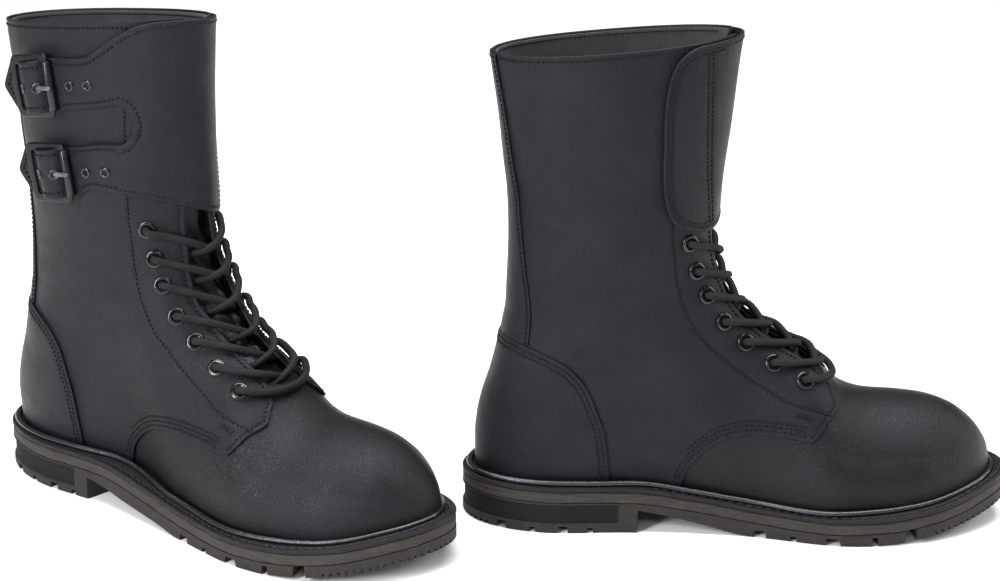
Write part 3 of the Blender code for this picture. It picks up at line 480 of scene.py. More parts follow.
def stitches(seams, pitch=2.6, length=1.8, radius=0.47, proud=0.0):
    """Small thread stitches along seams, each dipping into the leather at both ends."""
    x = np.array([-0.5, -0.42, -0.2, 0.2, 0.42, 0.5]) * length
    h = np.array([-0.55, -0.16, 0.0, 0.0, -0.16, -0.55]) * radius / 0.36 + proud
    w = np.array([0.55, 0.95, 1.0, 1.0, 0.95, 0.55]) * radius
    sides = 6
    turn = np.arange(sides) * 2 * pi / sides
    one = rod_faces(len(x), sides)
    verts, faces = [], []
    at = 0
    for p, n in seams:
        d = np.concatenate([[0], np.cumsum(np.linalg.norm(np.diff(p, axis=0), axis=1))])
        count = int(d[-1] / pitch)
        if count < 1:
            continue
        q = (np.arange(count) + 0.5) * d[-1] / count
        c = np.stack([np.interp(q, d, p[:, k]) for k in range(3)], -1)
        ahead = np.stack([np.interp(np.minimum(q + 0.6, d[-1]), d, p[:, k]) for k in range(3)], -1)
        behind = np.stack([np.interp(np.maximum(q - 0.6, 0), d, p[:, k]) for k in range(3)], -1)
        up = unit(np.stack([np.interp(q, d, n[:, k]) for k in range(3)], -1))
        fore = unit(ahead - behind)
        side = unit(np.cross(up, fore))
        up = np.cross(fore, side)
        ring = (c[:, None, None, :] + fore[:, None, None, :] * x[None, :, None, None]
                + up[:, None, None, :] * (h[:, None] + w[:, None] * np.sin(turn))[None, :, :, None]
                + side[:, None, None, :] * (w[:, None] * np.cos(turn))[None, :, :, None])
        verts.append(ring.reshape(-1, 3))
        for _ in range(count):
            faces += [tuple(at + i for i in g) for g in one]
            at += len(x) * sides
    return np.concatenate(verts), [tuple(reversed(f)) for f in faces]


def tube(path, radius, sides=12):
    """Round tube along a path; radius may vary along it and round it."""
    path = np.asarray(path, float)
    n = len(path)
    d = unit(np.gradient(path, axis=0))
    side = np.zeros_like(path)
    side[0] = unit(np.cross(d[0], (0.2, 1.0, 0.1)))
    for k in range(1, n):
        v = side[k - 1] - d[k] * (side[k - 1] @ d[k])
        side[k] = v / max(np.linalg.norm(v), 1e-9)
    up = np.cross(d, side)
    a = np.arange(sides) * 2 * pi / sides
    r = radius if np.ndim(radius) == 2 else np.broadcast_to(np.reshape(radius, (-1, 1)), (n, sides))
    v = path[:, None, :] + r[..., None] * (side[:, None, :] * np.cos(a)[None, :, None]
                                           + up[:, None, :] * np.sin(a)[None, :, None])
    return v.reshape(-1, 3), rod_faces(n, sides)


def turned(profile, centre, normal, sides=36):
    """Ring or disc turned from a closed profile of (radius, height)."""
    n = unit(normal)
    a = unit(np.cross(n, (0.3, 0.1, 1.0)))
    b = np.cross(n, a)
    m = len(profile)
    verts, faces = [], []
    for k in range(sides):
        q = 2 * pi * k / sides
        d = a * cos(q) + b * sin(q)
        verts += [centre + d * r + n * h for r, h in profile]
        c = (k + 1) % sides
        for j in range(m):
            i = (j + 1) % m
            faces.append((k * m + j, c * m + j, c * m + i, k * m + i))
    return np.array(verts), faces


def gather(parts):
    verts, faces = [], []
    at = 0
    for v, f in parts:
        verts.append(np.asarray(v, float))
        faces += [tuple(at + int(i) for i in g) for g in f]
        at += len(v)
    return np.concatenate(verts), faces


def spline(pts, per=8):
    """Smooth curve through points."""
    pts = np.asarray(pts, float)
    out = []
    n = len(pts)
    for k in range(n - 1):
        p0, p1, p2, p3 = pts[max(k - 1, 0)], pts[k], pts[k + 1], pts[min(k + 2, n - 1)]
        f = np.linspace(0, 1, per, endpoint=False)[:, None]
        out.append(0.5 * (2 * p1 + (p2 - p0) * f + (2 * p0 - 5 * p1 + 4 * p2 - p3) * f ** 2
                          + (3 * p1 - p0 - 3 * p2 + p3) * f ** 3))
    return np.vstack(out + [pts[-1:]])


def collar_lift(p, left):
    """The two legs stand a little differently at the collar."""
    x, y, z = p[..., 0], p[..., 1], p[..., 2]
    high = ease((z - 246) / 29)
    return high * (0.07 * np.minimum(y, 0) if left else 3.6 - 0.085 * y + 0.028 * (x - 80))


def throat_spread(p):
    """The right boot's lacing is pulled less tight, so its inner front stands further forward."""
    x, y, z = p[..., 0], p[..., 1], p[..., 2]
    high = ease((z - 86) / 34) * (1 - 0.68 * ease((z - 175) / 75))
    return 9.5 * high * ease((y + 20) / 24) * ease((x - 95) / 42)


class Foot:
    """Places right-boot shapes in the world, mirrored for the left boot."""

    def __init__(self, side, at, mirror):
        x, y, yaw = at
        self.side = side
        self.body = side + "_boot"
        self.mirror = mirror
        a = radians(yaw)
        flip = -1.0 if mirror else 1.0
        self.origin = np.array([x + SHIFT[0], y + SHIFT[1], 0.0])
        self.axes = np.array([[cos(a), -sin(a), 0], [flip * sin(a), flip * cos(a), 0], [0, 0, 1]])

    def world(self, p):
        p = np.array(p, float)
        if not self.mirror:
            p[..., 0] += throat_spread(p)
        p[..., 2] += collar_lift(p, self.mirror)
        return self.origin + (p * MM) @ self.axes

    def piece(self, name, shape, look, slot, nodes=(), body=None, sharp=None):
        """Make one object from (verts, faces) and let it ride."""
        verts, faces = shape
        if self.mirror:
            faces = [tuple(reversed(f)) for f in faces]
        me = bpy.data.meshes.new(self.side + "_" + name)
        me.from_pydata(self.world(verts).tolist(), [], [tuple(int(i) for i in f) for f in faces])
        me.validate()
        ob = bpy.data.objects.new(self.side + "_" + name + "_fine", me)
        bpy.context.scene.collection.objects.link(ob)
        me.materials.append(look)
        me.shade_smooth()
        if sharp:
            me.set_sharp_from_angle(angle=radians(sharp))
        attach(ob, body or self.body)
        if nodes:
            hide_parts(*[self.side + "_" + n for n in nodes])
        return ob


# ---- materials -----------------------------------------------------------------------------
class Look:
    """A procedural material, built node by node."""

    def __init__(self, name, **values):
        self.mat = bpy.data.materials.new(name)
        self.mat.use_nodes = True
        self.tree = self.mat.node_tree
        self.shader = self.tree.nodes["Principled BSDF"]
        for key, value in values.items():
            self.shader.inputs[key.replace("_", " ")].default_value = value

    def node(self, kind, **settings):
        n = self.tree.nodes.new(kind)
        for key, value in settings.items():
            if key in n.inputs:
                n.inputs[key].default_value = value
            else:
                setattr(n, key, value)
        return n

    def link(self, a, b):
        self.tree.links.new(a, b)

    def place(self):
        if not hasattr(self, "coords"):
            self.coords = self.node("ShaderNodeTexCoord").outputs["Object"]
        return self.coords

    def stretched(self, scale):
        m = self.node("ShaderNodeMapping")
        m.inputs["Scale"].default_value = scale
        self.link(self.place(), m.inputs["Vector"])
        return m.outputs["Vector"]

    def noise(self, scale, detail=3.0, rough=0.55, coords=None):
        n = self.node("ShaderNodeTexNoise", Scale=scale, Detail=detail, Roughness=rough)
        self.link(coords or self.place(), n.inputs["Vector"])
        return n.outputs["Fac"]

    def cells(self, scale, feature="F1", coords=None, random=1.0):
        n = self.node("ShaderNodeTexVoronoi", feature=feature, Scale=scale, Randomness=random)
        self.link(coords or self.place(), n.inputs["Vector"])
        return n.outputs["Distance"]

    def remap(self, value, low, high, to_low, to_high):
        n = self.node("ShaderNodeMapRange")
        for key, v in zip(("From Min", "From Max", "To Min", "To Max"), (low, high, to_low, to_high)):
            n.inputs[key].default_value = v
        self.link(value, n.inputs["Value"])
        return n.outputs["Result"]

    def maths(self, a, b, operation="ADD"):
        n = self.node("ShaderNodeMath", operation=operation)
        for k, v in enumerate((a, b)):
            if isinstance(v, (int, float)):
                n.inputs[k].default_value = v
            else:
                self.link(v, n.inputs[k])
        return n.outputs["Value"]

    def colours(self, fac, *stops):
        n = self.node("ShaderNodeValToRGB")
        while len(n.color_ramp.elements) < len(stops):
            n.color_ramp.elements.new(0.5)
        for e, (at, colour) in zip(n.color_ramp.elements, stops):
            e.position = at
            e.color = (*colour, 1)
        self.link(fac, n.inputs["Fac"])
        return n.outputs["Color"]

    def bump(self, height, strength, distance):
        n = self.node("ShaderNodeBump", Strength=strength, Distance=distance)
        self.link(height, n.inputs["Height"])
        if self.shader.inputs["Normal"].is_linked:
            self.link(self.shader.inputs["Normal"].links[0].from_socket, n.inputs["Normal"])
        self.link(n.outputs["Normal"], self.shader.inputs["Normal"])


def leather(name, dark, pale, rough=(0.40, 0.52), grain=1100.0, depth=0.00012, shine=0.19):
    """Smooth coated leather: fine pebble grain, faint pores and a slow change of tone."""
    m = Look(name, Specular_IOR_Level=shine, Specular_Tint=(0.94, 0.955, 1.0, 1.0))
    slow, fine = m.noise(38.0, 4.0), m.noise(900.0, 2.0)
    tone = m.maths(m.remap(slow, 0.3, 0.7, 0.0, 0.45), m.remap(fine, 0.3, 0.7, 0.0, 0.55))
    m.link(m.colours(tone, (0.0, dark), (1.0, pale)), m.shader.inputs["Base Color"])
    slow, fine = m.noise(90.0, 4.0), m.noise(1300.0, 1.0)
    gloss = m.maths(m.remap(slow, 0.3, 0.7, 0.0, 0.6), m.remap(fine, 0.3, 0.7, 0.0, 0.4))
    m.link(m.remap(gloss, 0.0, 1.0, *rough), m.shader.inputs["Roughness"])
    pebble = m.cells(grain, "DISTANCE_TO_EDGE")
    m.bump(m.remap(pebble, 0.0, 0.22, 0.0, 1.0), 0.55, depth * 1.5)
    m.bump(m.noise(grain * 2.3, 2.0), 0.25, depth * 0.6)
    m.bump(m.noise(60.0, 3.0), 0.12, 0.0011)
    return m.mat


def rubber(name, dark, pale, rough, grain, depth):
    """Moulded rubber, with speckle."""
    m = Look(name, Specular_IOR_Level=0.2)
    speck = m.noise(grain, 5.0, 0.7)
    slow = m.noise(55.0, 4.0, 0.6)
    m.link(m.colours(m.maths(m.maths(speck, 0.6, "MULTIPLY"), m.maths(slow, 0.4, "MULTIPLY")),
                     (0.32, dark), (0.68, pale)), m.shader.inputs["Base Color"])
    m.link(m.remap(slow, 0.3, 0.7, rough - 0.08, rough + 0.08), m.shader.inputs["Roughness"])
    m.bump(speck, 0.6, depth)
    m.bump(m.noise(grain * 3, 3.0), 0.3, depth * 0.5)
    return m.mat


def sanded(name):
    """Sanded sole edge: brown-grey, with streaks along the sole."""
    m = Look(name, Specular_IOR_Level=0.3)
    streak = m.noise(60.0, 5.0, 0.7, m.stretched((1.0, 1.0, 16.0)))
    fleck = m.noise(900.0, 3.0, 0.7)
    mixed = m.maths(m.maths(streak, 0.65, "MULTIPLY"), m.maths(fleck, 0.35, "MULTIPLY"))
    m.link(m.colours(mixed, (0.34, (0.007, 0.006, 0.0055)), (0.52, (0.024, 0.0205, 0.018)),
                     (0.70, (0.070, 0.060, 0.051))), m.shader.inputs["Base Color"])
    m.link(m.remap(streak, 0.3, 0.7, 0.55, 0.78), m.shader.inputs["Roughness"])
    m.bump(streak, 0.5, 0.0004)
    m.bump(fleck, 0.6, 0.00022)
    return m.mat


def suede(name, dark, pale):
    """Napped lining leather."""
    m = Look(name, Roughness=0.92, Specular_IOR_Level=0.2, Sheen_Weight=0.12, Sheen_Roughness=0.5)
    nap = m.noise(1500.0, 4.0, 0.75)
    blotch = m.noise(70.0, 4.0, 0.6)
    m.link(m.colours(m.maths(m.maths(nap, 0.6, "MULTIPLY"), m.maths(blotch, 0.4, "MULTIPLY")),
                     (0.3, dark), (0.7, pale)), m.shader.inputs["Base Color"])
    m.bump(nap, 0.7, 0.00025)
    return m.mat


def felt(name, dark, pale):
    """Pressed fibres, for the footbed and the hidden boards."""
    m = Look(name, Roughness=0.9, Specular_IOR_Level=0.2)
    fibre = m.noise(700.0, 6.0, 0.8, m.stretched((1.0, 2.5, 1.0)))
    m.link(m.colours(fibre, (0.3, dark), (0.7, pale)), m.shader.inputs["Base Color"])
    m.bump(fibre, 0.8, 0.0003)
    return m.mat


def paint(name, colour, rough, wear=0.0, orange=0.00006, shine=0.28):
    """Painted or enamelled metal, with a faint orange-peel surface and paler blotches; on the prong the pale
    colour and wear lift are a painted highlight.
    """
    m = Look(name, Specular_IOR_Level=shine)
    blotch = m.noise(160.0, 4.0)
    pale = tuple(min(c * 2.2 + wear, 1) for c in colour)
    m.link(m.colours(blotch, (0.35, colour), (0.95, pale)), m.shader.inputs["Base Color"])
    m.link(m.remap(blotch, 0.3, 0.7, rough - 0.05, rough + 0.07), m.shader.inputs["Roughness"])
    m.bump(m.noise(1800.0, 2.0), 0.4, orange)
    return m.mat


def steel(name):
    """Plain rolled steel."""
    m = Look(name, Metallic=1.0)
    line = m.noise(300.0, 4.0, 0.6, m.stretched((0.1, 1.0, 1.0)))
    tone = m.colours(line, (0.3, (0.32, 0.32, 0.33)), (0.7, (0.52, 0.52, 0.53)))
    m.link(tone, m.shader.inputs["Base Color"])
    m.link(m.remap(line, 0.3, 0.7, 0.3, 0.45), m.shader.inputs["Roughness"])
    m.bump(line, 0.2, 0.0001)
    return m.mat


def cord(name, dark, pale, rough=0.72):
    """Waxed polyester yarn."""
    m = Look(name, Specular_IOR_Level=0.18)
    yarn = m.noise(2600.0, 3.0, 0.7)
    m.link(m.colours(yarn, (0.3, dark), (0.75, pale)), m.shader.inputs["Base Color"])
    m.link(m.remap(yarn, 0.3, 0.7, rough - 0.12, rough + 0.1), m.shader.inputs["Roughness"])
    m.bump(yarn, 0.6, 0.00012)
    return m.mat


LEATHER_LOOK = leather("smooth_leather", (0.0026, 0.0027, 0.0036), (0.0088, 0.0091, 0.0118),
                       rough=(0.36, 0.56))
VAMP_LOOK = leather("toe_leather", (0.0028, 0.0028, 0.0034), (0.0094, 0.0095, 0.0112), rough=(0.32, 0.50))
TONGUE_LOOK = leather("tongue_leather", (0.004, 0.004, 0.005), (0.009, 0.009, 0.011),
                      (0.22, 0.34), 900.0, 0.0001)
RAND_LOOK = leather("waxed_bead", (0.005, 0.005, 0.006), (0.010, 0.010, 0.011),
                    (0.20, 0.28), 1500.0, 0.00004, 0.7)
WELT_LOOK = leather("welt_leather", (0.005, 0.005, 0.0055), (0.012, 0.0115, 0.012),
                    (0.42, 0.60), 700.0, 0.00025)
MIDSOLE_LOOK = sanded("sanded_midsole")
OUTSOLE_LOOK = rubber("moulded_rubber", (0.010, 0.0095, 0.009), (0.030, 0.028, 0.026), 0.66, 420.0, 0.0003)
# Dark rubber for the sunk heel panel; the same matte black also serves as painted shade in the strap holes.
PANEL_AND_HOLE_SHADE_LOOK = rubber("dark_rubber_and_hole_shade", (0.003, 0.003, 0.003), (0.008, 0.008, 0.008), 0.8, 600.0, 0.0002)
LINING_LOOK = suede("grey_suede", (0.016, 0.016, 0.017), (0.046, 0.045, 0.046))
FOOTBED_LOOK = felt("grey_felt", (0.020, 0.020, 0.021), (0.060, 0.060, 0.062))
BOARD_LOOK = felt("fibre_board", (0.16, 0.11, 0.07), (0.30, 0.22, 0.14))
STEEL_LOOK = steel("rolled_steel")
ENAMEL_LOOK = paint("black_enamel", (0.003, 0.003, 0.0035), 0.14, shine=0.5)
BUCKLE_LOOK = paint("buckle_paint", (0.004, 0.004, 0.005), 0.34, 0.001, 0.00012, 0.2)
ROLLER_LOOK = paint("roller_paint", (0.008, 0.0085, 0.0095), 0.28, 0.002, 0.00006, 0.3)
# The prong's pale grey colour and its 0.05 wear lift are a painted highlight.
PRONG_HIGHLIGHT_LOOK = paint("prong_painted_highlight", (0.050, 0.050, 0.054), 0.28, 0.05)
LACE_LOOK = cord("braided_lace", (0.004, 0.004, 0.0045), (0.015, 0.0148, 0.0155))
THREAD_LOOK = cord("black_thread", (0.0015, 0.0015, 0.002), (0.006, 0.006, 0.0065), 0.5)
WELT_THREAD_LOOK = cord("waxed_thread", (0.006, 0.006, 0.006), (0.028, 0.027, 0.026), 0.32)


# ---- leather pieces ------------------------------------------------------------------------
COLLAR_T = 1.0
RIM_SEAM_T = .9955
EYELET_CUT = 2.9
COUNTER_LIFT = 1.7
BACKSTAY_LIFT = 1.25
COUNTER = ((.162, 0), (.162, .18), (.161, .29), (.158, .405),
           (.145, .47), (.107, .503), (.07, .513), (0, .518))
COUNTER_OUTER = 0.967
COUNTER_INNER = 1.035
GAITER_OUTER = 2.9
JUNCTION_S = .335
GAITER_LOW = ((.335, .857), (.392, .855), (.461, .849), (.52, .842), (.56, .838), (.592, .837),
              (.636, .8405), (.658, .848), (.670, .862), (.675, .880), (.678, .907), (.681, .945),
              (.678, .970), (.669, .986), (.650, .996), (.634, .9985))
GAITER_TOP = ((.634, .9985), (.56, .9990), (.48, .9990), (.41, .9985), (.374, .996), (.335, .988))
WINDOW = ((.335, .937), (.349, .935), (.360, .929), (.3665, .917), (.359, .905), (.348, .899), (.335, .897))
STRAP_SPANS = {"upper": ((.937, .988), (.933, .980), (.931, .974)),
               "lower": ((.857, .897), (.857, .896), (.856, .893))}
STRAP_TIP = 26.5
STRAP_TAPER = 8.5


def bend(points, per=8):
    """Smooth (s, t) curve with no overshoot through chosen points."""
    q = np.asarray(points, float)
    k = np.arange(len(q))
    u = np.linspace(0, len(q) - 1, (len(q) - 1) * per + 1)
    return np.stack([glide(k, q[:, 0], u), glide(k, q[:, 1], u)], -1)


def facing_curve(low=FACING_T[0], high=1.0, n=120):
    t = np.linspace(low, high, n)
    return np.stack([glide(FACING_T, FACING_S, t), t], -1)


ARC_S_OUTER = (.2013, .2083, .2227, .2395, .2615, .2845, .2995)


def arc_curve(inner):
    return bend(np.stack([ARC_S if inner else ARC_S_OUTER, ARC_T], -1), 12)


def level_line(s0, s1, count, t):
    """Even (s, t) places at one level."""
    return np.stack([np.linspace(s0, s1, count), np.full(count, t)], -1)


def both_edges(half, t, middle=0.0):
    """A piece's two upright edges, up one side of its middle and down the other."""
    return np.stack([middle + half, t], -1), np.stack([middle - half, t], -1)[::-1]


def leather_patch(outline, lift, thick, seams=(), pitch=FINE, holes=(), roll=0.55):
    """A leather piece cut to an outline of (s, t) places; its lift may be a function of them."""
    scale = np.array((S_SCALE, T_SCALE))
    v, f = fill(np.asarray(outline) * scale, pitch, [np.asarray(h) * scale for h in holes])
    s, t = v[:, 0] / S_SCALE, np.clip(v[:, 1] / T_SCALE, 0, 1)
    p, n = skin_at(s, t, lift(s, t) if callable(lift) else lift)
    p = press(p, n, seams)
    return shell(p, n, f, thick, roll)


def flip_s(st):
    st = np.asarray(st, float)
    return np.stack([1 - st[:, 0], st[:, 1]], -1)[::-1]


def eyelet_spots(inner):
    return [(1 - s if inner else s, t) for s, t in EYELETS]


def quarter_shapes(inner):
    side = flip_s if inner else np.asarray
    arc = arc_curve(inner)
    base = level_line(0.0, arc[0, 0], 40, 0.0)
    top = level_line(FACING_S[-1], 0.0, 60, COLLAR_T)
    outline = np.vstack([base[:-1], arc[:-1], facing_curve()[:-1], top])
    rows = [seam(side(arc[first:-3]), 0.0, shift) for first, shift in ((3, 2.0), (3, 4.5), (16, 7.0))]
    edge = [seam(side(facing_curve(.206, .995)), 0.0, 2.3)]
    low = np.array([(.3455, .303), (.346, .35), (.345, .40)])
    t = np.linspace(.45, .995, 40)
    main = np.vstack([low, np.stack([glide(STITCH_T, STITCH_S, t), t], -1)])
    facing = [seam(side(main), 0.0)]
    tacks = []
    for k in range(2):
        a = np.array((.3270 - .0055 * k, .285 - .010 * k))
        tacks.append(seam(side(np.array([a, a + (-.0065, .030)])), 0.0))
    collar = [seam(side(level_line(FACING_S[-1] - .01, 0.045, 50, RIM_SEAM_T)), 0.0)]
    seams = rows + edge + facing + tacks + collar
    holes = []
    for s, t in eyelet_spots(inner):
        e = 0.004
        ms = np.linalg.norm(skin(s + e, t) - skin(s - e, t)) / (2 * e)
        mt = np.linalg.norm(skin(s, t + e) - skin(s, t - e)) / (2 * e)
        a = np.linspace(0, 2 * pi, 24, endpoint=False)
        holes.append(np.stack([s + EYELET_CUT / ms * np.cos(a), t + EYELET_CUT / mt * np.sin(a)], -1))
    body = leather_patch(side(outline), 0.0, LEATHER, seams, holes=holes)
    return body, seams


def eyelet_shapes(inner):
    """Rolled black eyelets."""
    roll = [(3.75 + 1.3 * cos(a), 0.5 + 0.85 * sin(a)) for a in np.linspace(-0.5, pi + 0.5, 12)]
    parts = []
    for s, t in eyelet_spots(inner):
        p, n = skin_at(s, t)
        ring = [(2.75, -3.4)] + roll + [(2.42, 0.1), (2.35, -3.4)]
        parts.append(turned(ring[::-1], p, n, 28))
    return gather(parts)


def counter_shape():
    half = bend(COUNTER, 12)
    outline = np.vstack([half * (COUNTER_OUTER, 1), (half * (-COUNTER_INNER, 1))[::-1][1:]])
    seams = [seam(outline, COUNTER_LIFT, shift) for shift in (2.0, 4.6)]
    return leather_patch(outline, COUNTER_LIFT, LEATHER, seams), seams


def backstay_shape():
    t = np.linspace(.5195, .999, 60)
    edges = both_edges(glide(BACKSTAY_T, BACKSTAY_S, t), t)
    seams = [seam(edge, BACKSTAY_LIFT, 1.9) for edge in edges]
    seams.append(seam(level_line(.036, -.036, 12, RIM_SEAM_T), BACKSTAY_LIFT))
    return leather_patch(np.vstack(edges), BACKSTAY_LIFT, 1.2, seams, roll=0.45), seams


def vamp_shape():
    turn = np.linspace(-1, 1, 181)
    rear = glide((0, .2, .36, .5, .65, .8, 1), (197, 194, 190, 176, 156, 128, 98), np.abs(turn))
    rows, norms = [], []
    for k in np.linspace(0, 1, 130):
        x = rear + (294.3 - rear) * np.sin(k * pi / 2)
        p = arch(x, turn)
        n = unit(arch(x, turn, 1.0) - p)
        lift = -1.75 + 1.35 * ease((x - 214) / 34) + ripple(p) * 0.8
        rows.append(p + n * lift[:, None])
        norms.append(n)
    p = np.concatenate(rows)
    n = np.concatenate(norms)
    m = len(turn)
    faces = []
    for i in range(len(rows) - 1):
        for j in range(m - 1):
            a = i * m + j
            faces.append((a, a + 1, a + m + 1, a + m))
    v = p[np.array(faces[len(faces) // 2])]
    if np.cross(v[1] - v[0], v[2] - v[0]) @ n[faces[len(faces) // 2][0]] < 0:
        faces = [tuple(reversed(f)) for f in faces]
    return shell(p, n, faces, LEATHER)


def tongue_shape():
    t = np.linspace(.42, .93, 60)
    half = glide((.42, .5, .6, .9, 1), (.115, .15, .155, .155, .15), t)

    def lifts(s, t):
        fold = (np.sin((s - .5) * 105 + t * 60) * 0.55 + np.sin(t * 150 + (s - .5) * 30) * 0.5
                + np.sin(t * 83 - (s - .5) * 55) * 0.6)
        return -6.9 + fold * ease((.86 - t) / .03) + 0.6 * ease((.5 - t) / .08)

    return leather_patch(np.vstack(both_edges(half, t, .5)), lifts, LEATHER, (), 2.0)


def lining_shape():
    t = np.concatenate([np.linspace(.05, .40, 20), np.linspace(.42, .998, 60)])
    half = np.where(t < .41, glide((0, .2, .41), (.235, .27, .33), t),
                    np.minimum(glide(FACING_T, FACING_S, t) - .0035, .462))
    half = np.where((t > .38) & (t < .46), glide((.38, .46), (.33, .432), t), half)

    def lifts(_, t):
        return glide((0, .40, .52, .60, 1), (-7.2, -6.6, -2.2, -1.85, -1.8), t)

    seams = [seam(level_line(.42, -.42, 90, RIM_SEAM_T), -2.8)]
    return leather_patch(np.vstack(both_edges(half, t)), lifts, 1.0, (), 2.0, roll=0.3), seams


def mesh_normals(p, faces):
    f = np.array([f[:3] for f in faces])
    g = np.cross(p[f[:, 1]] - p[f[:, 0]], p[f[:, 2]] - p[f[:, 0]])
    n = np.zeros_like(p)
    for face, v in zip(faces, g):
        for i in face:
            n[i] += v
    return unit(n)


def strap_point(spec, e, k):
    """Outer surface of a fastened strap at e along it and k across it, from the buckle's centre."""
    o, fore, across, n = buckle_frame_axes(*spec)
    return o + fore * e + across * (STRAP_WIDTH / 2 * k) + n * (strap_mid(e) + 1.0)


def gaiter_shape():
    """Inner end panel, front wrap and two straps, in one piece."""
    scale = np.array((S_SCALE, T_SCALE))
    spans = {k: v[0] for k, v in STRAP_SPANS.items()}
    joint = {}
    for k, v in spans.items():
        joint[k] = np.stack([np.full(24, JUNCTION_S), np.linspace(v[1], v[0], 24)], -1)
    sides = [bend(GAITER_LOW), bend(GAITER_TOP), joint["upper"], bend(WINDOW), joint["lower"]]
    pieces = [along(q * scale, FINE * 0.75) if i in (0, 1, 3) else q * scale for i, q in enumerate(sides)]
    outline = np.vstack([q[:-1] for q in pieces])
    v, f = triangulate([outline], FINE)
    s, t = v[:, 0] / S_SCALE, np.clip(v[:, 1] / T_SCALE, 0, 1)
    p, n = skin_at(s, t, GAITER_OUTER)
    faces = [tuple(int(i) for i in g) for g in f]
    points = [p]
    at = len(p)
    edge_lines = []
    for name, spec in (("upper", BUCKLES[0]), ("lower", BUCKLES[1])):
        target = joint[name][::-1] * scale
        ids = [int(np.argmin(np.linalg.norm(v - q, axis=1))) for q in target]
        share = np.linspace(0, 1, len(ids))
        k = 2 * share - 1
        keys = [p[ids]]
        for s0, (lo, hi) in zip((.308, .285), STRAP_SPANS[name][1:]):
            keys.append(skin_at(np.full(len(share), s0), lo + (hi - lo) * share, GAITER_OUTER)[0])
        keys += [np.array([strap_point(spec, e, q) for q in k]) for e in (14.0, 12.5)]
        lead = spline_rows(keys, 6)
        ends = -STRAP_TIP + STRAP_TAPER * np.sqrt(k ** 2 + 0.012)
        tail = [np.array([strap_point(spec, 12.5 + (e1 - 12.5) * u, q) for q, e1 in zip(k, ends)])
                for u in np.linspace(0, 1, 44)[1:]]
        columns = list(lead[1:]) + tail
        prev = ids
        for c in columns:
            new = list(range(at, at + len(c)))
            points.append(c)
            at += len(c)
            for j in range(len(c) - 1):
                faces.append((prev[j], prev[j + 1], new[j + 1]))
                faces.append((prev[j], new[j + 1], new[j]))
            prev = new
        grid = np.array([p[ids]] + columns)
        edge_lines.append(grid)
    p = np.concatenate(points)
    n_all = mesh_normals(p, faces)
    if n_all[0] @ n[0] < 0:
        faces = [tuple(reversed(g)) for g in faces]
        n_all = -n_all
    seams = gaiter_seams(edge_lines)
    fixed = press(p, n_all, seams)
    return shell(fixed, n_all, faces, GAITER_THICK, 0.7), seams


def spline_rows(keys, per):
    """Smooth columns between key columns of points."""
    keys = np.array(keys)
    out = [spline(keys[:, j], per) for j in range(keys.shape[1])]
    return np.array(out).transpose(1, 0, 2)


def grid_normals(grid):
    return unit(np.cross(np.gradient(grid, axis=0), np.gradient(grid, axis=1)))


def gaiter_seams(grids):
    """Stitch lines of the gaiter: double round its closed end, single along edges and straps."""
    low, top, window = bend(GAITER_LOW), bend(GAITER_TOP), bend(WINDOW)
    d_end = np.vstack([low[32:], top[:6]])
    out = [seam(np.vstack([low, top]), GAITER_OUTER, 1.9), seam(d_end, GAITER_OUTER, 4.0),
           seam(window, GAITER_OUTER, 3.6)]
    upright = np.array([(.613, .993), (.594, .922), (.562, .843)])
    out += [seam(bend(upright), GAITER_OUTER), seam(bend(upright), GAITER_OUTER, 2.6)]
    for grid in grids:
        n = grid_normals(grid)
        if n[2, 10] @ np.array([0, -1.0, 0]) < 0:
            n = -n
        m = grid.shape[1]
        rows = []
        for f in (0.09, 0.91):
            j = f * (m - 1)
            a = int(j)
            rows.append((grid[:-4, a] * (1 - j + a) + grid[:-4, a + 1] * (j - a), n[:-4, a]))
        out += rows
        tip_lo = grid[-4, int(.09 * (m - 1))], grid[-4, int(.91 * (m - 1))]
        apex = grid[-4, m // 2]
        out.append((np.array([tip_lo[0], apex, tip_lo[1]]), np.array([n[-4, 2], n[-4, m // 2], n[-4, -3]])))
    return out


def strap_trim():
    """Small black eyelets in the strap holes, each with a flat dark disc in its middle as painted shade for
    the hole.
    """
    ring = [(2.3 + 0.8 * cos(a), 0.25 + 0.45 * sin(a)) for a in np.linspace(-0.3, pi + 0.3, 10)]
    ring = [(2.9, -1.4)] + ring + [(1.55, -0.1), (1.5, -1.4)]
    # Flat dark disc inside each ring: painted shade where the hole is.
    hole_shade_disc = [(0.02, -0.7), (1.75, -0.7), (1.75, -0.5), (0.02, -0.5)]
    rings, hole_shade_discs = [], []
    for bx, bz, rise in BUCKLES:
        _, _, across, n = buckle_frame_axes(bx, bz, rise)
        for e in (-3.6, 7.4):
            d = strap_point((bx, bz, rise), e + 0.4, 0) - strap_point((bx, bz, rise), e - 0.4, 0)
            up = unit(np.cross(across, d))
            up = up if up @ n > 0 else -up
            at = strap_point((bx, bz, rise), e, 0)
            rings.append(turned(ring[::-1], at, up, 24))
            hole_shade_discs.append(turned(hole_shade_disc[::-1], at + up * 0.45, up, 24))
        for e in (23.2, 35.0):
            p, q = side_point(bx + e, bz + e * rise)
            p = p + q * (GAITER_OUTER + float(ripple(p)))
            rings.append(turned(ring[::-1], p, q, 24))
            hole_shade_discs.append(turned(hole_shade_disc[::-1], p + q * 0.45, q, 24))
    return gather(rings), gather(hole_shade_discs)


# ---- sole ----------------------------------------------------------------------------------
def outward(shape):
    """The same closed shape with its faces turned outward."""
    v, f = np.asarray(shape[0], float), shape[1]
    total = 0.0
    for g in f:
        for k in range(1, len(g) - 1):
            total += np.dot(v[g[0]], np.cross(v[g[k]], v[g[k + 1]]))
    return (v, f) if total > 0 else (v, [tuple(reversed(g)) for g in f])


